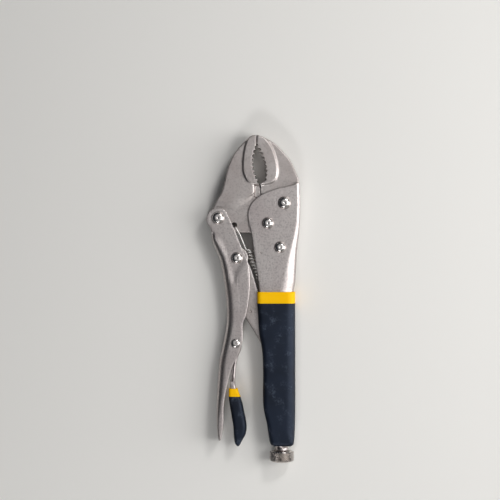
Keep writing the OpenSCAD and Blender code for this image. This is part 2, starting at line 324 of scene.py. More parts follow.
def build_slab(name, runs, half, grid=1.0, extra=(), ledge=None, sheet=None):
    """A piece that lies between two faces: triangles on both, and walls along its runs.

    half(points) is half the thickness at each point before its edges are
    rounded. ledge is the half thickness at which a "ledge" wall stops. With
    sheet the piece is bent sheet of that thickness, and hollow.
    """
    loop = np.vstack([run.points[:-1] for run in runs])
    edge = np.concatenate([run.edge[:-1] for run in runs])
    wall = [run.wall for run in runs for _ in run.points[:-1]]
    n = len(loop)
    after = np.roll(loop, -1, axis=0)
    if np.sum(loop[:, 0] * after[:, 1] - loop[:, 1] * after[:, 0]) < 0:
        raise ValueError(name + ": its outline runs clockwise")
    flat, order, tris = triangulated(mesh_points(loop, edge, extra, grid), loop)
    tall = half(flat)
    up = np.maximum(tall - rounding(flat, runs)[0], 0.05)
    count = len(flat)
    verts = [(x, y, z) for (x, y), z in zip(flat, up)]
    verts += [(x, y, -z) for (x, y), z in zip(flat, up)]
    faces = [tuple(t) for t in tris] + [tuple(count + i for i in t[::-1]) for t in tris]
    made = {}

    def level(i, share):
        """The point down the wall at outline point i: 1 is the front face, -1 the back."""
        if abs(share) == 1:
            return order[i] + (0 if share > 0 else count)
        if (i, share) not in made:
            top = up[order[i]]
            stop = top / 3 if ledge is None else min(ledge, top - THIN)
            made[i, share] = len(verts)
            verts.append((*flat[order[i]], math.copysign(stop, share)))
        return made[i, share]

    for i in range(n):
        if wall[i] is None:
            continue
        j = (i + 1) % n
        steps = [(1, 0.5), (-0.5, -1)]
        if wall[i] == "through":
            steps.insert(1, (0.5, -0.5))
        for p, q in steps:
            faces.append((level(i, p), level(i, q), level(j, q), level(j, p)))
    verts = np.array(verts)
    if sheet:
        bent_down, lean = rounding(flat, [run for run in runs if run.wall])
        upright = np.sqrt(np.maximum(1 - (lean**2).sum(1), 0))
        skin, away = verts.copy(), np.zeros_like(verts)
        for first, sign in ((0, 1), (count, -1)):
            skin[first : first + count, 2] = sign * (tall - bent_down)
            away[first : first + count] = np.column_stack([lean, sign * upright])
        for (i, _), k in made.items():
            across = lean[order[i]]
            away[k, :2] = across / max(np.linalg.norm(across), 1e-6)
        verts, faces = hollowed(verts, faces, skin, away, sheet)
    verts[:, 2] += MID
    return make_piece(name, verts, faces)


def make_piece(name, verts, faces, smooth=38):
    """A mesh object from points in millimetres."""
    mesh = bpy.data.meshes.new(name)
    points = (np.asarray(verts, float) * MM).tolist()
    mesh.from_pydata(points, [], [[int(i) for i in face] for face in faces])
    mesh.validate()
    mesh.update()
    piece = bpy.data.objects.new(name, mesh)
    bpy.context.scene.collection.objects.link(piece)
    shade(piece, smooth)
    return piece


def shade(piece, angle=38):
    for face in piece.data.polygons:
        face.use_smooth = True
    piece.data.set_sharp_from_angle(angle=math.radians(angle))


def apply_all(piece):
    """Turns a piece with modifiers into a plain mesh."""
    view = bpy.context.evaluated_depsgraph_get()
    mesh = bpy.data.meshes.new_from_object(piece.evaluated_get(view))
    piece.modifiers.clear()
    piece.data = mesh
    mesh.name = piece.name
    return piece


def pierced(piece, at, radius):
    """A round hole through a closed piece."""
    profile = [(0, -20), (radius, -20), (radius, 20), (0, 20)]
    cutter = revolve("cutter", profile, (at[0], at[1], MID), "z", 48)
    mod = piece.modifiers.new("hole", "BOOLEAN")
    mod.operation = "DIFFERENCE"
    mod.solver = "EXACT"
    mod.object = cutter
    apply_all(piece)
    bpy.data.objects.remove(cutter)
    shade(piece)
    return piece


def join(name, pieces):
    """Puts several meshes into one piece."""
    work = bmesh.new()
    for piece in pieces:
        work.from_mesh(piece.data)
        bpy.data.objects.remove(piece)
    mesh = bpy.data.meshes.new(name)
    work.to_mesh(mesh)
    work.free()
    piece = bpy.data.objects.new(name, mesh)
    bpy.context.scene.collection.objects.link(piece)
    shade(piece)
    return piece


def finish_piece(piece, body, nodes, material):
    piece.data.materials.clear()
    piece.data.materials.append(material)
    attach(piece, body)
    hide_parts(*nodes)
    return piece


def revolve(name, profile, base, axis, sides=64):
    """A turned piece: profile gives (radius, distance along the axis) pairs, from end to end."""
    profile = np.array(profile, float)
    a = np.linspace(0, 2 * math.pi, sides, endpoint=False)
    verts = np.vstack(
        [np.column_stack([r * np.cos(a), np.full(sides, h), r * np.sin(a)]) for r, h in profile]
    )
    faces = []
    for i in range(len(profile) - 1):
        for k in range(sides):
            q = (k + 1) % sides
            here, above = i * sides, (i + 1) * sides
            faces.append((here + k, here + q, above + q, above + k))
    faces.append(tuple(range(sides))[::-1])
    faces.append(tuple((len(profile) - 1) * sides + k for k in range(sides)))
    if axis == "z":
        verts = verts[:, [0, 2, 1]]
        faces = [f[::-1] for f in faces]
    verts = verts + np.array(base)
    piece = make_piece(name, verts, faces)
    work = bmesh.new()
    work.from_mesh(piece.data)
    bmesh.ops.remove_doubles(work, verts=work.verts, dist=1e-7)
    bmesh.ops.recalc_face_normals(work, faces=work.faces)
    work.to_mesh(piece.data)
    work.free()
    shade(piece)
    return piece


def tube(name, path, radius, sides=12):
    """A bent wire along a path, with rounded bends and closed ends."""
    data = bpy.data.curves.new(name, "CURVE")
    data.dimensions = "3D"
    data.bevel_depth = radius * MM
    data.bevel_resolution = sides // 4
    data.use_fill_caps = True
    spline = data.splines.new("POLY")
    spline.points.add(len(path) - 1)
    for point, at in zip(spline.points, path):
        point.co = (at[0] * MM, at[1] * MM, at[2] * MM, 1)
    curve = bpy.data.objects.new(name, data)
    bpy.context.scene.collection.objects.link(curve)
    view = bpy.context.evaluated_depsgraph_get()
    mesh = bpy.data.meshes.new_from_object(curve.evaluated_get(view))
    bpy.data.objects.remove(curve)
    piece = bpy.data.objects.new(name, mesh)
    bpy.context.scene.collection.objects.link(piece)
    shade(piece, 60)
    return piece


# ------------------------------------------------------------ node helpers


def colour(text):
    """A colour written as sRGB hex, as the linear values that Blender's shaders take."""
    parts = [int(text[k : k + 2], 16) / 255 for k in (1, 3, 5)]
    linear = [v / 12.92 if v <= 0.04045 else ((v + 0.055) / 1.055) ** 2.4 for v in parts]
    return (*linear, 1.0)


def add(tree, kind, settings=None, **links):
    """Adds a node. settings are its properties, and links its inputs: a value or a socket.

    An input is named by its label with _ for a space, or by its place, as i0 or i1.
    """
    node = tree.nodes.new(kind)
    for key, value in (settings or {}).items():
        setattr(node, key, value)
    for key, value in links.items():
        by_place = key[0] == "i" and key[1:].isdigit()
        spot = node.inputs[int(key[1:]) if by_place else key.replace("_", " ")]
        if isinstance(value, bpy.types.NodeSocket):
            tree.links.new(value, spot)
        else:
            spot.default_value = value
    return node


def new_material(name):
    material = bpy.data.materials.new(name)
    material.use_nodes = True
    tree = material.node_tree
    tree.nodes.clear()
    place = add(tree, "ShaderNodeTexCoord").outputs["Object"]
    return material, tree, place


def ramp(tree, value, low, high, start=0.0, end=1.0):
    """The value, clamped and spread from one range to another."""
    node = add(tree, "ShaderNodeMapRange", {"interpolation_type": "SMOOTHSTEP"})
    tree.links.new(value, node.inputs["Value"])
    limits = {"From Min": low, "From Max": high, "To Min": start, "To Max": end}
    for key, number in limits.items():
        node.inputs[key].default_value = number
    return node.outputs["Result"]


def noise(tree, place, size_mm, detail=3.0, rough=0.55, stretch=None):
    """A noise whose lumps are about size_mm across."""
    if stretch:
        turned, scale = stretch
        place = add(
            tree, "ShaderNodeMapping", Vector=place, Rotation=turned, Scale=scale
        ).outputs[0]
    node = add(
        tree, "ShaderNodeTexNoise", Vector=place, Scale=1000.0 / size_mm, Detail=detail,
        Roughness=rough,
    )
    return node.outputs["Fac"]


def mixed(tree, share, first, second, blend="MIX"):
    node = tree.nodes.new("ShaderNodeMix")
    node.data_type = "RGBA"
    node.blend_type = blend
    for index, value in ((0, share), (6, first), (7, second)):
        if isinstance(value, bpy.types.NodeSocket):
            tree.links.new(value, node.inputs[index])
        else:
            node.inputs[index].default_value = value
    return node.outputs[2]


def combine(tree, operation, first, second):
    node = add(tree, "ShaderNodeMath", {"operation": operation})
    for index, value in enumerate((first, second)):
        if isinstance(value, bpy.types.NodeSocket):
            tree.links.new(value, node.inputs[index])
        else:
            node.inputs[index].default_value = value
    return node.outputs[0]


def bump(tree, height, depth_mm, strength=1.0):
    return add(
        tree, "ShaderNodeBump", Height=height, Distance=depth_mm * MM, Strength=strength
    ).outputs["Normal"]


def surface(tree, **inputs):
    """The closing shader and output of a material."""
    shader = add(tree, "ShaderNodeBsdfPrincipled", None, **inputs)
    out = tree.nodes.new("ShaderNodeOutputMaterial")
    tree.links.new(shader.outputs[0], out.inputs[0])


# --------------------------------------------------------------- materials


def plated_sheet():
    """Pressed sheet under satin nickel: fine pebble, cloudy patches and thin scratches."""
    material, tree, place = new_material("satin_nickel_on_pressed_sheet")
    cloud = noise(tree, place, 26, 4)
    pebble = noise(tree, place, 1.5, 3, 0.6)
    # long thin scratches: a noise stretched along the handle, kept only at its peaks
    scratch = noise(tree, place, 1.1, 1, 0.5, ((0, 0, 0.25), (1, 0.035, 1)))
    scratch = ramp(tree, scratch, 0.69, 0.74)
    tint = mixed(tree, ramp(tree, cloud, 0.3, 0.7), colour("#b9b0ae"), colour("#cdc6c3"))
    tint = mixed(tree, ramp(tree, pebble, 0.36, 0.52, 0.4, 0.0), tint, colour("#8d8586"))
    tint = mixed(tree, combine(tree, "MULTIPLY", scratch, 0.22), tint, colour("#e9e6e4"))
    rough = ramp(tree, cloud, 0.3, 0.7, 0.43, 0.34)
    height = combine(tree, "SUBTRACT", pebble, combine(tree, "MULTIPLY", scratch, 0.3))
    surface(tree, Base_Color=tint, Metallic=1.0, Roughness=rough, Normal=bump(tree, height, 0.09))
    return material


def plated_forging():
    """A drop forging, blasted and nickel plated: coarser pebble than the sheet, darker hollows."""
    material, tree, place = new_material("satin_nickel_on_blasted_forging")
    cloud = noise(tree, place, 18, 4)
    grain = noise(tree, place, 1.7, 3, 0.65)
    tint = mixed(tree, ramp(tree, cloud, 0.3, 0.7), colour("#b2a9a6"), colour("#c8c1be"))
    tint = mixed(tree, ramp(tree, grain, 0.35, 0.5, 0.35, 0.0), tint, colour("#8f8886"))
    rough = ramp(tree, cloud, 0.3, 0.7, 0.46, 0.36)
    surface(tree, Base_Color=tint, Metallic=1.0, Roughness=rough, Normal=bump(tree, grain, 0.11))
    return material


def polished_rivet():
    """Headed rivet steel, tumbled and plated: bright, and uneven enough to break the light."""
    material, tree, place = new_material("bright_nickel_on_headed_rivet")
    dull = noise(tree, place, 3, 3)
    fine = noise(tree, place, 0.5, 2)
    tint = mixed(tree, dull, colour("#cdc7c4"), colour("#dedad8"))
    rough = ramp(tree, dull, 0.3, 0.7, 0.17, 0.27)
    surface(tree, Base_Color=tint, Metallic=1.0, Roughness=rough, Normal=bump(tree, fine, 0.012))
    return material


def spring_wire():
    """Drawn spring wire, plated: pale, softly shining turns that stand out from the dark."""
    material, tree, place = new_material("bright_plated_spring_wire")
    dull = noise(tree, place, 2, 3)
    tint = mixed(tree, dull, colour("#efebe7"), colour("#fbf9f6"))
    rough = ramp(tree, dull, 0.3, 0.7, 0.5, 0.6)
    surface(tree, Base_Color=tint, Metallic=1.0, Roughness=rough, Normal=bump(tree, dull, 0.02))
    return material


def turned_steel():
    """Bar steel, turned, threaded and plated: smoother than the sheet, with streaks of light."""
    material, tree, place = new_material("bright_nickel_on_turned_steel")
    cloud = noise(tree, place, 5, 3)
    fine = noise(tree, place, 0.45, 2)
    tint = mixed(tree, cloud, colour("#a59d98"), colour("#c6bfba"))
    rough = ramp(tree, cloud, 0.3, 0.7, 0.2, 0.3)
    surface(tree, Base_Color=tint, Metallic=1.0, Roughness=rough, Normal=bump(tree, fine, 0.02))
    return material


def knurled_steel():
    """Bar steel, knurled and plated: bright points, with painted shade in the cuts between them.
    """
    material, tree, place = new_material("oiled_nickel_on_knurled_steel")
    low, high = node_box("knurled_knob")
    floor_r = ((high[0] - low[0]) / 2 - KNURL_DEPTH) * MM
    cloud = noise(tree, place, 5, 3)
    axis = (SCREW_AT[0] * MM, 0, MID * MM)
    away = add(
        tree, "ShaderNodeVectorMath", {"operation": "SUBTRACT"}, i0=place, i1=axis
    ).outputs[0]
    away = add(
        tree, "ShaderNodeVectorMath", {"operation": "MULTIPLY"}, i0=away, i1=(1.0, 0.0, 1.0)
    ).outputs[0]
    away = add(tree, "ShaderNodeVectorMath", {"operation": "LENGTH"}, i0=away).outputs["Value"]
    # painted shade lies at the cuts' floor and thins out up their sides, and the dished end stays
    # unshaded
    cut_shade = combine(
        tree, "MULTIPLY",
        ramp(tree, away, floor_r - 0.15 * MM, floor_r - 0.02 * MM),
        ramp(tree, away, floor_r + 0.03 * MM, floor_r + 0.26 * MM, 0.85, 0.0),
    )
    tint = mixed(tree, cloud, colour("#c4bcb7"), colour("#e0dad5"))
    # painted shade: a dark brown mixed in at the floor of the knurl's cuts
    tint = mixed(tree, cut_shade, tint, colour("#2b2521"))
    rough = ramp(tree, cloud, 0.3, 0.7, 0.24, 0.34)
    surface(tree, Base_Color=tint, Metallic=1.0, Roughness=rough)
    return material


def dipped_vinyl(name, base, dusty, worn, share, gloss, shine):
    """Dipped vinyl: a soft satin skin with slight orange peel, dusty smudges and rubbed patches.

    base is linear, as a property gives it, and the other colours are hex.
    """
    material, tree, place = new_material(name)
    smudge = noise(tree, place, 9, 5, 0.62)
    speck = noise(tree, place, 1.3, 3, 0.7)
    peel = noise(tree, place, 1.6, 2)
    rub = noise(tree, place, 34, 3)
    mark = combine(tree, "MULTIPLY", ramp(tree, smudge, 0.5, 0.72), ramp(tree, speck, 0.38, 0.66))
    tint = mixed(tree, ramp(tree, rub, 0.35, 0.7), base, colour(worn))
    tint = mixed(tree, combine(tree, "MULTIPLY", mark, share), tint, colour(dusty))
    rough = ramp(tree, smudge, 0.35, 0.7, 0.4, 0.56)
    height = combine(tree, "ADD", peel, combine(tree, "MULTIPLY", speck, 0.35))
    surface(
        tree, Base_Color=tint, Roughness=rough, IOR=1.5, Specular_IOR_Level=gloss,
        Specular_Tint=colour(shine), Normal=bump(tree, height, 0.035),
    )
    return material


def black_vinyl():
    """The near-black dip of the grips, blue where it catches the light."""
    base = tuple(bpy.context.scene.pliers_finish.grip_colour)
    return dipped_vinyl(
        "black_dipped_vinyl", base, dusty="#667080", worn="#181e2a", share=0.34,
        gloss=0.42, shine="#b4c2dd",
    )


def yellow_vinyl():
    """The yellow dip of the bands: cleaner and less glossy than the black."""
    base = tuple(bpy.context.scene.pliers_finish.band_colour)
    return dipped_vinyl(
        "yellow_dipped_vinyl", base, dusty="#e3a612", worn="#ffc914", share=0.25,
        gloss=0.2, shine="#ffe6a8",
    )


def floor_paper():
    """Plain pale studio paper with a faint tooth."""
    material, tree, place = new_material("pale_studio_paper")
    tooth = noise(tree, place, 1.2, 2)
    normal = bump(tree, tooth, 0.02, 0.4)
    surface(tree, Base_Color=colour("#e9e7e3"), Roughness=0.85, Normal=normal)
    return material


MATERIALS = {}


def material_for(kind):
    """Each material is made once, the first time that a piece asks for it."""
    makers = {
        "sheet": plated_sheet,
        "forging": plated_forging,
        "rivet": polished_rivet,
        "wire": spring_wire,
        "turned": turned_steel,
        "knurled": knurled_steel,
        "black": black_vinyl,
        "yellow": yellow_vinyl,
        "floor": floor_paper,
    }
    if kind not in MATERIALS:
        MATERIALS[kind] = makers[kind]()
    return MATERIALS[kind]


# ---------------------------------------------------------- geometry nodes


def new_tree(name, inputs):
    """A Geometry Nodes tree with named inputs: (name, socket type, default)."""
    tree = bpy.data.node_groups.new(name, "GeometryNodeTree")
    tree.interface.new_socket("Geometry", in_out="INPUT", socket_type="NodeSocketGeometry")
    tree.interface.new_socket("Geometry", in_out="OUTPUT", socket_type="NodeSocketGeometry")
    for label, kind, default in inputs:
        spot = tree.interface.new_socket(label, in_out="INPUT", socket_type=kind)
        if default is not None:
            spot.default_value = default
    entry = tree.nodes.new("NodeGroupInput")
    return tree, entry.outputs


def close_tree(tree, geometry, material):
    """Realize Instances, Set Material and the output."""
    real = add(tree, "GeometryNodeRealizeInstances", None, Geometry=geometry)
    painted = add(
        tree, "GeometryNodeSetMaterial", None, Geometry=real.outputs[0], Material=material
    )
    out = tree.nodes.new("NodeGroupOutput")
    tree.links.new(painted.outputs[0], out.inputs[0])


def grown_from(piece, tree, values):
    """Runs a tree on a piece and leaves a plain mesh."""
    mod = piece.modifiers.new("nodes", "NODES")
    mod.node_group = tree
    for item in tree.interface.items_tree:
        if item.in_out == "INPUT" and item.name in values:
            mod[item.identifier] = values[item.name]
    return apply_all(piece)


def rivet_tree():
    """A head on every point, at its own size and way up."""
    tree, given = new_tree(
        "rivet_heads", [("Head", "NodeSocketObject", None), ("Finish", "NodeSocketMaterial", None)]
    )
    size = add(tree, "GeometryNodeInputNamedAttribute", {"data_type": "FLOAT_VECTOR"}, Name="size")
    turn = add(tree, "GeometryNodeInputNamedAttribute", {"data_type": "FLOAT_VECTOR"}, Name="turn")
    head = add(tree, "GeometryNodeObjectInfo", None, Object=given["Head"])
    spun = add(tree, "FunctionNodeEulerToRotation", None, Euler=turn.outputs["Attribute"])
    put = add(
        tree, "GeometryNodeInstanceOnPoints", None, Points=given["Geometry"],
        Instance=head.outputs["Geometry"], Rotation=spun.outputs[0],
        Scale=size.outputs["Attribute"],
    )
    close_tree(tree, put.outputs[0], given["Finish"])
    return tree


def coil_tree():
    """A wire wound in even turns about the Y axis, then laid where it belongs."""
    tree, given = new_tree(
        "wound_wire",
        [
            ("Turns", "NodeSocketFloat", 10.0),
            ("Radius", "NodeSocketFloat", 0.002),
            ("Length", "NodeSocketFloat", 0.03),
            ("Wire", "NodeSocketFloat", 0.0005),
            ("Sides", "NodeSocketInt", 10),
            ("Turn", "NodeSocketVector", None),
            ("Place", "NodeSocketVector", None),
            ("Finish", "NodeSocketMaterial", None),
        ],
    )
    wound = add(
        tree, "GeometryNodeCurveSpiral", None, Resolution=30, Rotations=given["Turns"],
        Start_Radius=given["Radius"], End_Radius=given["Radius"], Height=given["Length"],
    )
    ring = add(
        tree, "GeometryNodeCurvePrimitiveCircle", None, Resolution=given["Sides"],
        Radius=given["Wire"],
    )
    swept = add(
        tree, "GeometryNodeCurveToMesh", None, Curve=wound.outputs[0],
        Profile_Curve=ring.outputs[0], Fill_Caps=True,
    )
    spun = add(tree, "FunctionNodeEulerToRotation", None, Euler=given["Turn"])
    laid = add(
        tree, "GeometryNodeTransform", None, Geometry=swept.outputs[0], Rotation=spun.outputs[0],
        Translation=given["Place"],
    )
    close_tree(tree, laid.outputs[0], given["Finish"])
    return tree


def knurl_tree():
    """Pyramids in a diamond pattern round a cylinder that lies along Y."""
    tree, given = new_tree(
        "diamond_knurl",
        [
            ("Around", "NodeSocketInt", 40),
            ("Rows", "NodeSocketInt", 8),
            ("Radius", "NodeSocketFloat", 0.009),
            ("Length", "NodeSocketFloat", 0.006),
            ("Tooth", "NodeSocketFloat", 0.0006),
            ("Height", "NodeSocketFloat", 0.0003),
            ("Place", "NodeSocketVector", None),
            ("Finish", "NodeSocketMaterial", None),
        ],
    )
    drum = add(
        tree, "GeometryNodeMeshCylinder", {"fill_type": "NONE"}, Vertices=given["Around"],
        Side_Segments=given["Rows"], Radius=given["Radius"], Depth=given["Length"],
    )
    # corners and face middles together make the diamond pattern
    spots = tree.nodes.new("GeometryNodeJoinGeometry")
    for mode in ("VERTICES", "FACES"):
        points = add(
            tree, "GeometryNodeMeshToPoints", {"mode": mode}, Mesh=drum.outputs["Mesh"]
        )
        tree.links.new(points.outputs[0], spots.inputs[0])
    where = tree.nodes.new("GeometryNodeInputPosition")
    out = add(
        tree, "ShaderNodeVectorMath", {"operation": "MULTIPLY"}, i0=where.outputs[0],
        i1=(1.0, 1.0, 0.0),
    )
    facing = add(
        tree, "FunctionNodeAlignRotationToVector", {"axis": "X", "pivot_axis": "Z"},
        Vector=out.outputs[0],
    )
    spike = add(
        tree, "GeometryNodeMeshCone", {"fill_type": "NONE"}, Vertices=4, Radius_Top=0.0,
        Radius_Bottom=given["Tooth"], Depth=given["Height"],
    )
    tipped = add(tree, "GeometryNodeTransform", None, Geometry=spike.outputs[0])
    tree.links.new(
        add(tree, "FunctionNodeEulerToRotation", None, Euler=(0.0, math.pi / 2, 0.0)).outputs[0],
        tipped.inputs["Rotation"],
    )
    put = add(
        tree, "GeometryNodeInstanceOnPoints", None, Points=spots.outputs[0],
        Instance=tipped.outputs[0], Rotation=facing.outputs[0],
    )
    laid = add(
        tree, "GeometryNodeTransform", None, Geometry=put.outputs[0], Translation=given["Place"]
    )
    tree.links.new(
        add(tree, "FunctionNodeEulerToRotation", None, Euler=(-math.pi / 2, 0.0, 0.0)).outputs[0],
        laid.inputs["Rotation"],
    )
    close_tree(tree, laid.outputs[0], given["Finish"])
    return tree


# ------------------------------------------------------------------ pieces


def beside(line, *offsets, step=0.7):
    """Points at several distances beside a line, for the mesh to follow a raised edge."""
    p = smoothed(line, step)
    t = np.gradient(p, axis=0)
    side = np.column_stack([-t[:, 1], t[:, 0]]) / np.linalg.norm(t, axis=1)[:, None]
    return np.vstack([p + side * d for d in offsets])


def left_tooth(y):
    """The line that the moving jaw's teeth are cut from, hollow towards the other jaw."""
    return -1.35 + 0.0185 * (y - 104) ** 2


def right_tooth(y):
    """The line that the fixed jaw's teeth are cut from."""
    return 10.5 - 0.0165 * (y - 96.5) ** 2


TOOTH_OUT = math.degrees(math.acos((TOOTH_R - TOOTH_RISE) / TOOTH_R))


def fixed_jaw_teeth():
    """The toothed edge, downwards."""
    rows = [[(2.2, 118.2)]]
    for i in range(TEETH):
        y = 116.8 - FIXED_PITCH * i
        rows.append(arc((right_tooth(y) - TOOTH_R, y), TOOTH_R, TOOTH_OUT, -TOOTH_OUT, 0.26))
    rows.append([(6.2, 88.2), (5.4, 87.2)])
    return np.vstack(rows)


def moving_jaw_teeth():
    """The toothed edge, upwards."""
    rows = [[(4.9, 87.2), (4.6, 87.8)]]
    for i in reversed(range(TEETH)):
        y = 115.3 - MOVING_PITCH * i
        middle = (left_tooth(y) + TOOTH_R, y)
        rows.append(arc(middle, TOOTH_R, 180 + TOOTH_OUT, 180 - TOOTH_OUT, 0.26))
    rows.append([(2.0, 117.4)])
    return np.vstack(rows)


FIXED_LAND = [
    (5.5, 126.5), (8.4, 123), (12.5, 117.9), (15.7, 111.5), (17.7, 104), (18.3, 97.4),
    (17.1, 91.8), (14.4, 88.9), (10.5, 87.8), (6, 87.4),
]
MOVING_LAND = [
    (6, 87.4), (2.5, 87.5), (-0.6, 88), (-4.1, 89.6), (-6.3, 92.9), (-7.7, 97.4), (-7.9, 103.8),
    (-7.3, 110.1), (-6.7, 114), (-5.3, 119.2), (-3.4, 123.4), (-2, 126.5),
]


def build_fixed_jaw():
    """The upper right jaw: a flat tang, a thicker shoulder and a raised D round the teeth."""
    teeth = fixed_jaw_teeth()
    tang = [teeth[-1], (6, 86), (6, 80), (8.5, 71), (11, 44), (14, 43), (15, 31.5), (29.8, 31.5),
            (31.4, 37.2), (33, 52.5), (33.8, 67.9), (33.8, 75.6), (33.5, 86.6)]
    back = [
        (33.5, 86.6), (34.5, 88.4), (34.6, 91.3), (33.6, 94), (30.5, 100.9), (28.2, 105.5),
        (24.4, 110.1), (20.5, 114.7), (16.6, 118.2), (11.3, 121.6), (6.6, 123.8), (4.6, 124.6),
        (2.9, 125),
    ]
    runs = [
        Run(teeth, 0.12, soft=False),
        Run(tang, 0.15, step=1.2, soft=False),
        Run(back, 0.9, step=0.8),
        Run([(2.9, 125), (2.2, 124.3), (2.2, 118.2)], 0.5, soft=False),
    ]
    land = np.vstack([smoothed(FIXED_LAND, 0.6), [(-4, 87.4), (-4, 126.5)]])
    shoulder = np.array(
        [(0, 86.2), (8.2, 86.4), (20, 88.6), (33.4, 90.8), (45, 91.5), (45, 135), (0, 135)]
    )

    def half(p):
        rise = ease(depth(p, shoulder), -3.2, 2.2)
        return JAW_HALF + SHOULDER_RISE * rise + LAND_RISE * ease(depth(p, land), -1.1, 0.6)

    lines = [
        beside(FIXED_LAND, -0.6, -0.2, 0.3, 0.7, 1.1),
        beside(shoulder[:4], -2, -1, 0, 1, 2),
    ]
    piece = build_slab("Fixed_Jaw", runs, half, 1.0, lines)
    return finish_piece(piece, "body", ["fixed_jaw"], material_for("forging"))


def build_moving_jaw():
    """The upper left jaw, with its round hub under the body and its lug for the lever."""
    teeth = moving_jaw_teeth()
    front = [
        (1.3, 125), (-0.5, 124.7), (-3, 123.4), (-7.1, 119.6), (-11.7, 114.7), (-14.9, 110.1),
        (-17.2, 105.5), (-19.2, 100.6), (-20.9, 94), (-22.5, 87.1), (-24.7, 80.4),
        (-28.4, 74.4), (-31.6, 70.4),
    ]
    lug = arc(LEVER_AT, 8.3, 118, 262)
    under = [lug[-1], (-26, 52.9), (-21, 50.9), (-9, 50.6), (-0.6, 50.5)]
    hub = arc(JAW_AT, 11.9, 217.5, 395)
    neck = [hub[-1], (14.6, 70.6), (9.4, 73.4), (6, 78), (5.2, 84), (4.9, 87.2)]
    front[-1] = lug[0]
    hub[0] = under[-1]
    runs = [
        Run(front, 0.9, step=0.8),
        Run(lug, 0.7, soft=False),
        Run(under, 0.5, step=1.0),
        Run(hub, 0.2, soft=False),
        Run(neck, 0.2, step=1.0),
        Run(teeth, 0.12, soft=False),
        Run([teeth[-1], (2.0, 124.3), (1.3, 125)], 0.03, soft=False),
    ]
    land = np.vstack([smoothed(MOVING_LAND, 0.6), [(10, 126.5), (10, 87.4)]])
    step_line = [
        (-40, 74.5), (-30, 72.6), (-22, 71.4), (-18, 70.8), (-12.2, 72.2), (-6.3, 75.6),
        (-2, 78.6), (0.2, 80.6), (0.8, 84), (0.4, 87),
    ]
    shoulder = np.vstack([smoothed(step_line, 0.7), [(6, 87), (12, 87), (12, 135), (-40, 135)]])
    pocket = np.array([(0.9, 77), (9, 77), (9, 86.4), (0.9, 86.4)])
    pocket_depth = 1.3

    def half(p):
        soft = 0.5 + 2.6 * ease(p[:, 1], 80, 75)
        tall = JAW_HALF + SHOULDER_RISE * ease(depth(p, shoulder) / soft, -1, 1)
        tall += LAND_RISE * ease(depth(p, land), -0.7, 0.6)
        return tall - pocket_depth * ease(depth(p, pocket), -0.1, 0.6)

    lines = [
        beside(MOVING_LAND, -0.6, -0.25, 0.1, 0.45, 0.7),
        beside(step_line, -2.7, -1.8, -1.0, -0.4, 0.2, 0.8, 1.6, 2.5),
        beside([(0.9, 76.9), (0.9, 86.5)], -0.5, -0.1, 0.2),
        beside([(0.9, 86.4), (5, 86.4)], -0.5, -0.1, 0.2),
    ]
    hook_hole_r = 2.2
    piece = pierced(build_slab("Moving_Jaw", runs, half, 1.0, lines), HOOK_AT, hook_hole_r)
    return finish_piece(piece, "jaw", ["moving_jaw"], material_for("forging"))


def build_body_shell():
    """The fixed handle: one sheet folded into a channel, and the round neck at its end."""

    def fold(p):
        wide = 2.4 + 7.6 * ease(p[:, 1], 72, 4) ** 1.4
        return np.where(p[:, 1] > -90, wide, 3 + 7.0 * ease(p[:, 1], -108, -90))

    left = [
        (33.6, 88.7), (29.9, 86.9), (17.4, 84), (6.8, 79.9), (0.9, 75.6), (-2.9, 70.4),
        (-4.3, 64.4), (-3.5, 57.8), (-1.7, 50.2), (-0.1, 39.4), (1.6, 27.8), (3.3, 17),
        (4.7, 6.1), (4.9, -3.5), (5.6, -23.4), (8.6, -39.5), (9.2, -54.8), (9.2, -79.4),
        (9.9, -86.3), (12.1, -94.7), (13.2, -103.2),
    ]
    right = [
        (26.9, -111.5), (29.0, -108.5), (29.8, -103), (30.4, -85), (30.6, -60), (30.6, -5),
        (31, 5), (32.1, 12), (32.8, 21.9), (33.6, 37.2), (35.1, 52.5), (35.8, 67.9),
        (35.8, 75.6), (35.6, 87.2),
    ]
    runs = [
        Run(left, 0.55, None, 0.9),
        Run([(13.2, -103.2), (14.3, -109.3), (17.3, -111.5)], 1.5, step=1.2),
        Run([(17.3, -111.5), (26.9, -111.5)], 1.5, step=1.5),
        Run(right, fold, step=1.2),
        Run([(35.6, 87.2), (34.9, 88.4), (33.6, 88.7)], 0.3, None, 0.6),
    ]
    spot = np.array([(5.4, 34.7)])
    ring = [arc(spot[0], r, 0, 330, 0.3) for r in (0.25, 0.55, 0.85, 1.2)]

    def half(p):
        d = np.linalg.norm(p - spot, axis=1)
        return BODY_HALF - DIMPLE_DEPTH * (1 - ease(d, 0.35, 0.95))

    shell = build_slab("Body_Sheet", runs, half, 1.5, [spot, *ring], sheet=BODY_SHEET)
    neck_profile = [
        (3.4, 12), (3.4, 0), (4.35, 0), (4.8, 0.5), (4.8, 2.4), (4.65, 2.6), (4.8, 2.8),
        (4.8, 13.4),
    ]
    neck = revolve("neck", neck_profile, (SCREW_AT[0], -116.4, MID), "y", 72)
    piece = join("Body_Sheet", [shell, neck])
    return finish_piece(piece, "body", ["body_shell"], material_for("sheet"))


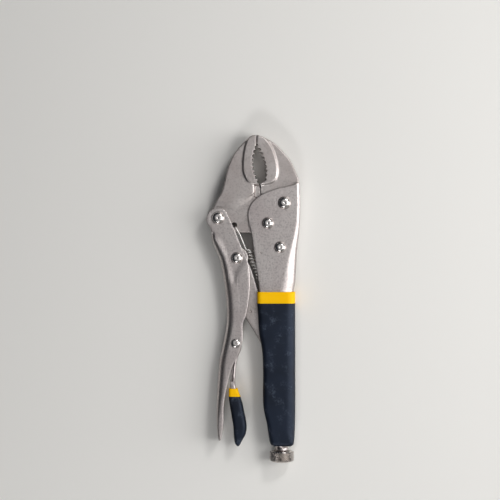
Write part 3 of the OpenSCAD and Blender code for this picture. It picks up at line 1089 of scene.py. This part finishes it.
def build_lever():
    """The moving handle: folded sheet with a V between the levels of its two ends."""

    def fold(p):
        y = p[:, 1]
        return 1.2 + 3.8 * ease(y, -106, -60) * (1 - 0.6 * ease(y, 28, 49))

    head = [
        (-13.6, 51.2), (-16.6, 57.6), (-19.1, 63.0), (-20.6, 66.0), (-22.1, 67.8),
        (-24.6, 68.8), (-27.6, 69.0), (-31, 68.2), (-34.1, 65.7), (-35.65, 62), (-35.85, 60),
        (-35.4, 57.8), (-34.0, 55.4), (-32.2, 52.6), (-31.6, 49),
    ]
    left = [
        (-31.6, 49), (-31.3, 44.9), (-28.6, 37.2), (-25.5, 29.5), (-22.4, 14.2), (-20.5, -1.2),
        (-20.1, -16.5), (-22.4, -31.8), (-25.5, -47.2), (-27, -62.5), (-27.8, -85.5),
        (-27.6, -97), (-26.9, -105.4), (-26.3, -108.2),
    ]
    right = [
        (-23.9, -104.6), (-22.9, -95), (-22.7, -82.8), (-20.1, -67.1), (-16.5, -52.9),
        (-11.2, -42.2), (-8.2, -31.8), (-7.9, -18.8), (-5.8, -13.4), (-3.8, -3.1), (-2.9, 3.8),
        (-2.9, 20.3), (-4.4, 29), (-9.3, 40), (-13.6, 51.2),
    ]
    runs = [
        Run(head, 0.4, None, 0.8),
        Run(left, fold, step=1.2),
        Run([(-26.3, -108.2), (-25.6, -108.5), (-24.7, -107.6), (-23.9, -104.6)], 1.0, step=0.7),
        Run(right, 0.45, None, 0.9),
    ]
    vee = [
        (-31.8, 46.5), (-28.5, 45.9), (-25.2, 43.2), (-19.6, 26.5), (-15.9, 14.2),
        (-14.5, 12.2), (-13.5, 14.6), (-11.8, 20.6), (-8, 27), (-3.5, 31), (1, 34),
    ]
    upper = np.vstack([[(-45, 80), (-45, 46.5)], smoothed(vee, 0.7), [(1, 80)]])

    def half(p):
        return LEVER_HALF - VEE_DROP * ease(depth(p, upper), -2.6, 2.6)

    lines = [beside(vee, -2.4, -1.2, 0, 1.2, 2.4)]
    piece = build_slab("Lever_Handle", runs, half, 1.5, lines, sheet=LEVER_SHEET)
    return finish_piece(piece, "lever", ["lever_handle"], material_for("sheet"))


def build_link():
    """The toggle link: a forged strut with a thick eye, and a saddle for the screw's tip."""
    eye = arc(LINK_AT, 8.6, -19, 200)
    left = [tuple(eye[-1]), (-18.9, 22), (-15.5, 10), (-12, 0), (-8, -9), (-5.6, -15), (-1, -22.6),
            (5.6, -33.7), (12, -45), (15.6, -54), (18.65, -56.5)]
    saddle = arc((21.9, -55.2), 3.5, 201.8, -21.8, 0.5)
    right = [
        (27.2, -55.6), (27.6, -50), (21, -38), (14, -22), (6.5, -2), (2.4, 10), (-1.9, 23.5),
        tuple(eye[0]),
    ]
    saddle[0] = left[-1]
    runs = [
        Run(eye, 0.5, soft=False),
        Run(left, 0.6, step=1.2),
        Run(saddle, 0.3, soft=False),
        Run([tuple(saddle[-1]), (26.4, -56.5), (27.2, -55.6)], 0.4, step=0.6, soft=False),
        Run(right, 0.6, step=1.2),
    ]
    pad = np.array([(0, -47.7), (35, -41), (35, -70), (0, -70)])
    spot = np.array([(-1.9, -10.0)])

    def half(p):
        boss = ease(-np.linalg.norm(p - LINK_AT, axis=1), -10.2, -8.8)
        foot = ease(depth(p, pad), -0.8, 0.8)
        dot = 1 - ease(np.linalg.norm(p - spot, axis=1), 0.35, 0.95)
        return LINK_HALF + LINK_BOSS * np.maximum(boss, foot) - DIMPLE_DEPTH * dot

    lines = [arc(LINK_AT, r, 0, 352, 0.8) for r in (8.7, 9.2, 9.7, 10.3)]
    lines += [spot] + [arc(spot[0], r, 0, 330, 0.35) for r in (0.3, 0.6, 0.9, 1.2)]
    lines.append(beside([(10, -45.7), (30, -41.9)], -0.8, -0.2, 0.4, 0.8))
    piece = build_slab("Toggle_Link", runs, half, 1.4, lines)
    return finish_piece(piece, "link", ["toggle_link"], material_for("forging"))


def build_release_lever():
    """The release lever: a folded strip inside the lever, whose tail runs into the paddle."""
    left = [
        (-12.6, -15.6), (-15.2, -22), (-18.4, -31), (-18.5, -38), (-17.2, -53), (-17.6, -66),
    ]
    tail = [
        (-17.6, -66), (-16.8, -75), (-15.4, -86), (-13.4, -98), (-12.6, -107), (-11, -108.6),
    ]
    right = [
        (-11, -108.6), (-8.6, -104), (-7.4, -98.6), (-8.2, -92), (-10.4, -80), (-13, -70),
        (-13.8, -64), (-13.2, -53), (-11.8, -45), (-9.2, -38), (-8.6, -31), (-8.7, -18),
        (-9.4, -15.2),
    ]

    def fold(p):
        y = p[:, 1]
        return 0.6 + 0.9 * ease(y, -90, -70) - 1.1 * ease(y, -65, -62) * ease(y, -38, -42)

    runs = [
        Run(left, 0.3, None, 0.8),
        Run(tail, 0.6, step=1.5),
        Run(right, fold, step=1.0),
        Run([(-9.4, -15.2), (-12.6, -15.6)], 0.6, step=0.8),
    ]
    rim = np.array([(-13.7, -66), (-13.8, -64), (-13.2, -53), (-11.8, -45), (-9.2, -38)])

    rim_width, trough_depth, tail_half = 1.9, 2.4, 3.6

    def half(p):
        y = p[:, 1]
        inward = nearest(p, rim)[0]
        along = ease(y, -39, -43) * ease(y, -64, -61)
        slope = 0.55 * np.clip(rim_width - inward, 0, rim_width)
        trough = trough_depth * ease(inward, 1.6, 2.1)
        return tail_half + 1.3 * ease(y, -66, -60) - (slope + trough) * along

    lines = [beside(rim, -2.15, -1.85, -1.55, -0.8)]
    piece = build_slab("Release_Lever", runs, half, 0.7, lines, sheet=STRIP_SHEET)
    return finish_piece(piece, "release", ["release_lever"], material_for("sheet"))


def build_grip():
    """The dipped grip on the fixed handle: a thick skin that wraps both edges of the channel."""
    left = [
        (3, -3.6), (3.7, -14), (4.6, -27), (6.7, -39.5), (7.5, -54.8), (7.5, -79.4),
        (8.3, -86.3), (10.2, -94.7), (11.5, -103.2),
    ]
    low = [(11.5, -103.2), (12.4, -108.6), (13.6, -111.4), (16.6, -112.6)]
    right = [
        (28.4, -112.6), (30.4, -111.4), (31.2, -108.5), (31.7, -103.2), (32.2, -85),
        (32.2, -60), (32.2, -40), (32.1, -3.6),
    ]
    runs = [
        Run(left, 3.2, "ledge", 1.2),
        Run(low, 3.2, step=1.0),
        Run([(16.6, -112.6), (28.4, -112.6)], 3.2, step=1.2),
        Run(right, lambda p: 3.2 + 3.4 * ease(p[:, 1], -112, -100), step=1.2),
        Run([(32.1, -3.6), (3, -3.6)], 0.0, None, 1.2),
    ]
    crown = np.array([(17, -4), (18, -40), (19.5, -80), (21.5, -112)])

    def half(p):
        d = nearest(p, crown)[0]
        return GRIP_HALF - GRIP_CROWN * np.clip(d / 13, 0, 1) ** 2

    piece = build_slab("Handle_Grip", runs, half, 1.6, ledge=LIP_HALF, sheet=3.4)
    return finish_piece(piece, "body", ["handle_grip"], material_for("black"))


def build_grip_collar():
    """The yellow band where the grip starts, thinner than the grip."""
    top, low, round_over = 5.2, -3.6, 1.2
    runs = [
        Run([(2.9, top), (3, low)], 3.0, "ledge", 1.0),
        Run([(3, low), (32.1, low)], 0.0, None, 1.2),
        Run([(32.1, low), (32.1, top)], 6.2, step=1.0),
        Run([(32.1, top), (2.9, top)], 0.0, None, 1.2),
    ]

    def half(p):
        share = np.clip((top - p[:, 1]) / round_over, 0, 1)
        return COLLAR_HALF - 0.35 * (1 - np.sqrt(1 - (1 - share) ** 2))

    lines = [beside([(31, top), (4, top)], 0.15, 0.4, 0.8, 1.3, step=1.2)]
    piece = build_slab("Handle_Grip_Collar", runs, half, 1.3, lines, ledge=LIP_HALF, sheet=3.0)
    band = material_for("yellow")
    return finish_piece(piece, "body", ["handle_grip_collar"], band)


def build_release_grip():
    """The paddle on the release lever: dipped, swollen in the middle and flared at the back."""
    left = [
        (-18.8, -74.9), (-18.3, -79.9), (-16.8, -88.6), (-15.3, -97.6), (-14.8, -106.2),
        (-14.0, -110.6), (-12.4, -112.8), (-11.2, -112.9), (-10, -111.6),
    ]
    right = [
        (-10, -111.6), (-8.6, -108.8), (-5.9, -103.9), (-5, -98.6), (-5.9, -91.7),
        (-7.1, -85.8), (-8.3, -79.9), (-9.9, -74.9),
    ]
    runs = [
        Run(left, 2.3, step=0.9),
        Run(right, 3.0, step=0.9),
        Run([(-9.9, -74.9), (-18.8, -74.9)], 0.25, step=0.9),
    ]
    spine = np.array([(-14, -75), (-12.5, -88), (-10.5, -98), (-11, -110)])

    def half(p):
        return PADDLE_HALF - 0.5 * np.clip(nearest(p, spine)[0] / 5.5, 0, 1) ** 2

    piece = build_slab("Release_Grip", runs, half, 0.9)
    return finish_piece(piece, "release", ["release_grip"], material_for("black"))


def build_release_collar():
    """The yellow band above the paddle."""
    runs = [
        Run([(-18.8, -68.8), (-18.8, -74.9)], 2.0, step=0.8),
        Run([(-18.8, -74.9), (-9.9, -74.9)], 0.0, step=0.8),
        Run([(-9.9, -74.9), (-11.6, -70.0), (-12, -68.8)], 2.0, step=0.8),
        Run([(-12, -68.8), (-18.8, -68.8)], 0.5, step=0.8),
    ]

    def half(p):
        return np.full(len(p), PADDLE_BAND_HALF)

    piece = build_slab("Release_Grip_Collar", runs, half, 0.8)
    band = material_for("yellow")
    return finish_piece(piece, "release", ["release_grip_collar"], band)


def build_rivets():
    """All six rivets. Each head is one shape, set by its size and by which face it is on."""
    profile = [
        (0, 0.93), (0.09, 0.93), (0.13, 0.97), (0.2, 1.0), (0.42, 0.985), (0.62, 0.9),
        (0.78, 0.72), (0.88, 0.5), (0.94, 0.26), (0.97, 0.1), (1.0, 0.05), (1.0, 0),
        (0.5, -0.15), (0, -0.15),
    ]
    # one metre across its radius, so that the scale of each instance is its size in metres
    head = revolve("rivet_head", [(r / MM, h / MM) for r, h in profile], (0, 0, 0), "z", 64)
    tree = rivet_tree()
    groups = {
        "Body_Rivets": (
            "body", ["fixed_jaw_rivet_upper", "fixed_jaw_rivet_lower", "jaw_pivot_rivet"]
        ),
        "Lever_Rivets": ("lever", ["lever_pivot_rivet", "link_pivot_rivet", SMALL_RIVET]),
    }
    made = []
    for name, (body, nodes) in groups.items():
        places, scale, turn = [], [], []
        for node in nodes:
            low, high = node_box(node)
            radius = (high[0] - low[0]) / 2
            seat = LEVER_HALF if node == SMALL_RIVET else HEAD_SEATS[body]
            tall = high[2] - MID - seat
            for side in (1, -1):
                places.append((*node_centre(node)[:2], MID + side * seat))
                scale += [radius * MM, radius * MM, tall * MM]
                turn += [0 if side > 0 else math.pi, 0, 0]
        piece = make_piece(name, places, [])
        for label, values in (("size", scale), ("turn", turn)):
            data = piece.data.attributes.new(label, "FLOAT_VECTOR", "POINT")
            data.data.foreach_set("vector", values)
        grown_from(piece, tree, {"Head": head, "Finish": material_for("rivet")})
        parts = [piece]
        for node in nodes:
            r = SMALL_PIN_R if node == SMALL_RIVET else PIN_R
            profile = [(0, -PIN_HALF), (r, -PIN_HALF), (r, PIN_HALF), (0, PIN_HALF)]
            parts.append(revolve("pin", profile, (*node_centre(node)[:2], MID), "z", 32))
        piece = join(name, parts)
        made.append(finish_piece(piece, body, nodes, material_for("rivet")))
    bpy.data.objects.remove(head)
    return made


def bent(points, radius, steps=6):
    """A path of straight lines whose corners are rounded."""
    p = [np.array(q, float) for q in points]
    path = [p[0]]
    for a, b, c in zip(p, p[1:], p[2:]):
        to_a, to_c = a - b, c - b
        r = min(radius, 0.45 * np.linalg.norm(to_a), 0.45 * np.linalg.norm(to_c))
        start = b + to_a / np.linalg.norm(to_a) * r
        end = b + to_c / np.linalg.norm(to_c) * r
        for t in np.linspace(0, 1, steps):
            path.append((1 - t) ** 2 * start + 2 * t * (1 - t) * b + t * t * end)
    return path + [p[-1]]


def build_spring(sizes):
    """The return spring: close turns, a loop round the anchor pin, and a hook into the jaw."""
    anchor = node_centre("spring_anchor_pin")[:2]
    top = np.array([-3.3, 36.9])
    radius = COIL_R - COIL_WIRE_R
    way = (anchor - top) / np.linalg.norm(anchor - top)
    loop_r = 2.1
    long = np.linalg.norm(anchor - top) - loop_r - 1.2
    seed = make_piece("coils", [(0, 0, 0)], [])
    grown_from(
        seed, coil_tree(),
        {
            "Turns": sizes.spring_turns, "Radius": radius * MM, "Length": long * MM,
            "Wire": COIL_WIRE_R * MM, "Sides": 10,
            "Turn": (0.0, math.pi / 2, math.atan2(way[1], way[0])),
            "Place": (top[0] * MM, top[1] * MM, MID * MM), "Finish": material_for("wire"),
        },
    )
    across = np.array([way[1], -way[0]])
    pull = (top - HOOK_AT) / np.linalg.norm(top - HOOK_AT)
    eye = HOOK_AT + 1.6 * pull
    over = HOOK_AT + 9 * pull
    face = MID + 4.5 + WIRE_R + 0.1
    side = top + across * radius
    hook = bent(
        [
            (*(top - across * 1.0 + way * 0.4), MID + 1.7),
            (*(top + across * 0.3 - way * 0.7), MID + 2.0),
            (*(side - way * 1.3), MID + 1.6),
            (*over, face),
            (*eye, face),
            (*eye, MID - 1),
        ],
        1.4,
    )
    ring = [
        (*(anchor + loop_r * np.array([math.cos(t), math.sin(t)])), MID)
        for t in math.atan2(-way[1], -way[0]) + np.linspace(0.0, 2 * math.pi, 30)
    ]
    tail = [
        (*(anchor - way * (loop_r + 1.9) + across * radius), MID),
        (*(anchor - way * (loop_r + 0.9) + across * 1.2), MID),
        *ring,
    ]
    piece = join("Return_Spring", [seed, tube("hook", hook, WIRE_R), tube("eye", tail, WIRE_R)])
    return finish_piece(piece, "spring", ["return_spring"], material_for("wire"))


def build_anchor_pin():
    """The pin across the channel that holds the spring, its ends just under the sheet's face."""
    x, y, _ = node_centre("spring_anchor_pin")
    r, end, corner = 1.4, 6.1, 0.2
    up = [(r, end - corner), (r - 0.25, end), (0, end)]
    profile = [(radius, -height) for radius, height in reversed(up)] + up
    piece = revolve("Spring_Anchor_Pin", profile, (x, y, MID), "z", 32)
    return finish_piece(piece, "body", ["spring_anchor_pin"], material_for("rivet"))


def build_screw(sizes):
    """The adjusting screw: a threaded shank with a plain pilot that pushes the link's saddle."""
    low = node_box("adjusting_screw")[0]
    x = SCREW_AT[0]
    profile = [
        (0, 0), (3.2, 0), (3.3, 0.2), (3.3, 10), (2.85, 10.6), (2.85, 60), (2.3, 61), (1.6, 61),
        (1.6, 67.2), (1.0, 68), (0, 68),
    ]
    core = revolve("core", profile, (x, low[1], MID), "y", 40)
    thread = make_piece("thread", [(0, 0, 0)], [])
    thread_start, length = 11, 49.0
    grown_from(
        thread, coil_tree(),
        {
            "Turns": length / sizes.thread_pitch, "Radius": 2.8 * MM, "Length": length * MM,
            "Wire": 0.5 * MM, "Sides": 4, "Turn": (-math.pi / 2, 0.0, 0.0),
            "Place": (x * MM, (low[1] + thread_start) * MM, MID * MM),
            "Finish": material_for("turned"),
        },
    )
    piece = join("Adjusting_Screw", [core, thread])
    return finish_piece(piece, "screw", ["adjusting_screw"], material_for("turned"))


def build_knob(sizes):
    """The knob: turned with rounded corners and a dished end, and knurled in crossed diagonals."""
    low, high = node_box("knurled_knob")
    r = (high[0] - low[0]) / 2
    long = high[1] - low[1]
    core = r - KNURL_DEPTH
    dish = [
        (0, 0.9), (3.2, 0.9), (4.2, 0.5), (5.4, 0.12), (6.4, 0), (7.2, 0), (7.9, 0.25), (8.4, 0.7),
    ]
    top = [(core - 0.3, long - 0.45), (core - 1.0, long), (5, long), (0, long)]
    profile = [*dish, (core, 1.2), (core, long - 1.0), *top]
    body = revolve("turned", profile, (SCREW_AT[0], low[1], MID), "y", 96)
    seed = make_piece("knurl", [(0, 0, 0)], [])
    margin = 1.4  # plain rim below the knurl
    band = long - 2.6
    grown_from(
        seed, knurl_tree(),
        {
            "Around": sizes.knurl_count, "Rows": 4, "Radius": (core + 0.03) * MM,
            "Length": band * MM, "Tooth": 0.74 * MM, "Height": (KNURL_DEPTH - 0.06) * MM,
            "Place": (SCREW_AT[0] * MM, (low[1] + margin + band / 2) * MM, MID * MM),
            "Finish": material_for("knurled"),
        },
    )
    piece = join("Knurled_Knob", [body, seed])
    shade(piece, 25)
    return finish_piece(piece, "knob", ["knurled_knob"], material_for("knurled"))


# ------------------------------------------------------------------- stage


def area_light(name, at, aim, size, power, tint="#ffffff"):
    data = bpy.data.lights.new(name, "AREA")
    data.shape = "RECTANGLE"
    data.size, data.size_y = size
    data.energy = power
    data.color = colour(tint)[:3]
    lamp = bpy.data.objects.new(name, data)
    bpy.context.scene.collection.objects.link(lamp)
    lamp.location = at
    direction = np.array(aim) - np.array(at)
    lamp.rotation_euler = Vector(direction).to_track_quat("-Z", "Y").to_euler()
    return lamp


def build_world(strength):
    """A studio that is dark on the left and pale on the right, so that rounded edges show."""
    world = bpy.data.worlds.new("Studio")
    bpy.context.scene.world = world
    world.use_nodes = True
    tree = world.node_tree
    tree.nodes.clear()
    way = add(tree, "ShaderNodeTexCoord").outputs["Generated"]
    across = add(tree, "ShaderNodeSeparateXYZ", None, Vector=way)
    share = ramp(tree, across.outputs[0], -0.25, 0.75)
    tint = mixed(tree, share, colour("#4b5058"), colour("#f4f3f0"))
    sky = add(tree, "ShaderNodeBackground", None, Color=tint, Strength=strength)
    out = tree.nodes.new("ShaderNodeOutputWorld")
    tree.links.new(sky.outputs[0], out.inputs[0])


def build_stage(stage):
    """Floor, soft lights and the camera, which looks straight down at the pliers."""
    reach = 6000  # far enough for the floor's edge to stay out of a low view
    corners = [(-reach, -reach, 0), (reach, -reach, 0), (reach, reach, 0), (-reach, reach, 0)]
    floor = make_piece("Studio_Floor", corners, [(0, 1, 2, 3)])
    floor.data.materials.append(material_for("floor"))
    area_light("right_strip", (0.85, 0.0, 0.5), (0, 0, 0), (0.5, 1.5), stage.strip_power)
    area_light("upper_right_box", (0.42, 0.62, 0.75), (0, 0.03, 0), (0.22, 0.22), stage.box_power)
    area_light("lower_box", (-0.12, -0.8, 0.7), (0, 0, 0), (0.3, 0.22), stage.box_power)
    area_light("overhead_box", (0.3, 0.2, 1.6), (0, 0, 0), (1.6, 1.6), stage.overhead_power)
    bpy.context.scene.view_settings.view_transform = "Standard"
    build_world(stage.ambient)
    data = bpy.data.cameras.new("Camera")
    data.lens = 100
    data.clip_end = 20
    camera = bpy.data.objects.new("Camera", data)
    bpy.context.scene.collection.objects.link(camera)
    view_width = 0.3835  # metres across the picture at the mid-plane
    height = MID * MM + view_width * data.lens / data.sensor_width
    camera.location = (-0.0025, 0.0372, height)
    bpy.context.scene.camera = camera
    return floor


# ------------------------------------------------------------------ add-on


class PliersSizes(bpy.types.PropertyGroup):
    """What may be changed on the pliers' small repeated shapes."""

    spring_turns: bpy.props.FloatProperty(
        name="Spring turns", description="Turns of wire in the return spring", default=14.0,
        min=8, max=30,
    )
    thread_pitch: bpy.props.FloatProperty(
        name="Thread pitch", description="Travel of the screw for each turn, in millimetres",
        default=1.5, min=0.5,
    )
    knurl_count: bpy.props.IntProperty(
        name="Knurl count", description="Diamonds round the knob", default=38, min=16, max=80
    )


class PliersFinish(bpy.types.PropertyGroup):
    """The colours of the dipped grips and of their bands, where they aren't rubbed or dusty."""

    grip_colour: bpy.props.FloatVectorProperty(
        name="Grip colour", description="Colour of the grip and the paddle", subtype="COLOR",
        size=4, min=0, max=1, default=colour("#10131a"),
    )
    band_colour: bpy.props.FloatVectorProperty(
        name="Band colour", description="Colour of the two bands above them", subtype="COLOR",
        size=4, min=0, max=1, default=colour("#ffc000"),
    )


class PliersStage(bpy.types.PropertyGroup):
    """How the studio is lit."""

    overhead_power: bpy.props.FloatProperty(
        name="Overhead", description="Power of the large soft box above", default=3.4, min=0,
        unit="POWER",
    )
    strip_power: bpy.props.FloatProperty(
        name="Strip", description="Power of the strip on the right", default=8.5, min=0,
        unit="POWER",
    )
    box_power: bpy.props.FloatProperty(
        name="Boxes", description="Power of each of the two small boxes", default=2.6, min=0,
        unit="POWER",
    )
    ambient: bpy.props.FloatProperty(
        name="Ambient", description="Strength of the even light all round", default=0.34, min=0,
        max=5,
    )


class PLIERS_OT_fixed_jaw(bpy.types.Operator):
    """Adds the forged upper right jaw, with its tang and its teeth."""

    bl_idname = "pliers.fixed_jaw"
    bl_label = "Fixed jaw"

    def execute(self, context):
        build_fixed_jaw()
        return {"FINISHED"}


class PLIERS_OT_moving_jaw(bpy.types.Operator):
    """Adds the forged upper left jaw, with its hub and its lug."""

    bl_idname = "pliers.moving_jaw"
    bl_label = "Moving jaw"

    def execute(self, context):
        build_moving_jaw()
        return {"FINISHED"}


class PLIERS_OT_body_shell(bpy.types.Operator):
    """Adds the folded sheet of the fixed handle and its round neck."""

    bl_idname = "pliers.body_shell"
    bl_label = "Body"

    def execute(self, context):
        build_body_shell()
        return {"FINISHED"}


class PLIERS_OT_lever_handle(bpy.types.Operator):
    """Adds the folded sheet of the moving handle."""

    bl_idname = "pliers.lever_handle"
    bl_label = "Lever"

    def execute(self, context):
        build_lever()
        return {"FINISHED"}


class PLIERS_OT_toggle_link(bpy.types.Operator):
    """Adds the strut between the lever and the screw."""

    bl_idname = "pliers.toggle_link"
    bl_label = "Toggle link"

    def execute(self, context):
        build_link()
        return {"FINISHED"}


class PLIERS_OT_release_lever(bpy.types.Operator):
    """Adds the narrow folded strip inside the lever."""

    bl_idname = "pliers.release_lever"
    bl_label = "Release lever"

    def execute(self, context):
        build_release_lever()
        return {"FINISHED"}


class PLIERS_OT_handle_grip(bpy.types.Operator):
    """Adds the black dipped grip of the fixed handle."""

    bl_idname = "pliers.handle_grip"
    bl_label = "Handle grip"

    def execute(self, context):
        build_grip()
        return {"FINISHED"}


class PLIERS_OT_handle_grip_collar(bpy.types.Operator):
    """Adds the yellow band above the grip."""

    bl_idname = "pliers.handle_grip_collar"
    bl_label = "Handle band"

    def execute(self, context):
        build_grip_collar()
        return {"FINISHED"}


class PLIERS_OT_release_grip(bpy.types.Operator):
    """Adds the black dipped paddle."""

    bl_idname = "pliers.release_grip"
    bl_label = "Release paddle"

    def execute(self, context):
        build_release_grip()
        return {"FINISHED"}


class PLIERS_OT_release_grip_collar(bpy.types.Operator):
    """Adds the yellow band above the paddle."""

    bl_idname = "pliers.release_grip_collar"
    bl_label = "Paddle band"

    def execute(self, context):
        build_release_collar()
        return {"FINISHED"}


class PLIERS_OT_rivets(bpy.types.Operator):
    """Adds all six rivets, one mesh for each body."""

    bl_idname = "pliers.rivets"
    bl_label = "Rivets"

    def execute(self, context):
        build_rivets()
        return {"FINISHED"}


class PLIERS_OT_return_spring(bpy.types.Operator):
    """Adds the return spring, with its hook and its eye."""

    bl_idname = "pliers.return_spring"
    bl_label = "Return spring"

    def execute(self, context):
        build_spring(context.scene.pliers_sizes)
        return {"FINISHED"}


class PLIERS_OT_anchor_pin(bpy.types.Operator):
    """Adds the small pin that holds the spring."""

    bl_idname = "pliers.anchor_pin"
    bl_label = "Anchor pin"

    def execute(self, context):
        build_anchor_pin()
        return {"FINISHED"}


class PLIERS_OT_adjusting_screw(bpy.types.Operator):
    """Adds the adjusting screw with its thread."""

    bl_idname = "pliers.adjusting_screw"
    bl_label = "Adjusting screw"

    def execute(self, context):
        build_screw(context.scene.pliers_sizes)
        return {"FINISHED"}


class PLIERS_OT_knurled_knob(bpy.types.Operator):
    """Adds the knurled knob."""

    bl_idname = "pliers.knurled_knob"
    bl_label = "Knob"

    def execute(self, context):
        build_knob(context.scene.pliers_sizes)
        return {"FINISHED"}


class PLIERS_OT_stage(bpy.types.Operator):
    """Adds the floor, the lights and the camera."""

    bl_idname = "pliers.stage"
    bl_label = "Stage"

    def execute(self, context):
        build_stage(context.scene.pliers_stage)
        return {"FINISHED"}


OPERATORS = (
    PLIERS_OT_fixed_jaw,
    PLIERS_OT_moving_jaw,
    PLIERS_OT_body_shell,
    PLIERS_OT_lever_handle,
    PLIERS_OT_toggle_link,
    PLIERS_OT_release_lever,
    PLIERS_OT_handle_grip,
    PLIERS_OT_handle_grip_collar,
    PLIERS_OT_release_grip,
    PLIERS_OT_release_grip_collar,
    PLIERS_OT_rivets,
    PLIERS_OT_return_spring,
    PLIERS_OT_anchor_pin,
    PLIERS_OT_adjusting_screw,
    PLIERS_OT_knurled_knob,
    PLIERS_OT_stage,
)


class PLIERS_PT_panel(bpy.types.Panel):
    """Lists the pieces."""

    bl_idname = "PLIERS_PT_panel"
    bl_label = "Locking Pliers"
    bl_space_type = "VIEW_3D"
    bl_region_type = "UI"
    bl_category = "Pliers"

    def draw(self, context):
        scene = context.scene
        shown = (
            (scene.pliers_sizes, ("spring_turns", "thread_pitch", "knurl_count")),
            (scene.pliers_finish, ("grip_colour", "band_colour")),
            (scene.pliers_stage, ("overhead_power", "strip_power", "box_power", "ambient")),
        )
        for group, labels in shown:
            for label in labels:
                self.layout.prop(group, label)
        for kind in OPERATORS:
            self.layout.operator(kind.bl_idname)


CLASSES = (PliersSizes, PliersFinish, PliersStage, *OPERATORS, PLIERS_PT_panel)


def register():
    for kind in CLASSES:
        bpy.utils.register_class(kind)
    bpy.types.Scene.pliers_sizes = bpy.props.PointerProperty(type=PliersSizes)
    bpy.types.Scene.pliers_finish = bpy.props.PointerProperty(type=PliersFinish)
    bpy.types.Scene.pliers_stage = bpy.props.PointerProperty(type=PliersStage)


def unregister():
    del bpy.types.Scene.pliers_stage
    del bpy.types.Scene.pliers_finish
    del bpy.types.Scene.pliers_sizes
    for kind in reversed(CLASSES):
        bpy.utils.unregister_class(kind)


def main():
    """Runs every operator in order."""
    register()
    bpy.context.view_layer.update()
    for kind in OPERATORS:
        group, _, name = kind.bl_idname.partition(".")
        getattr(getattr(bpy.ops, group), name)()


if __name__ == "__main__":
    main()
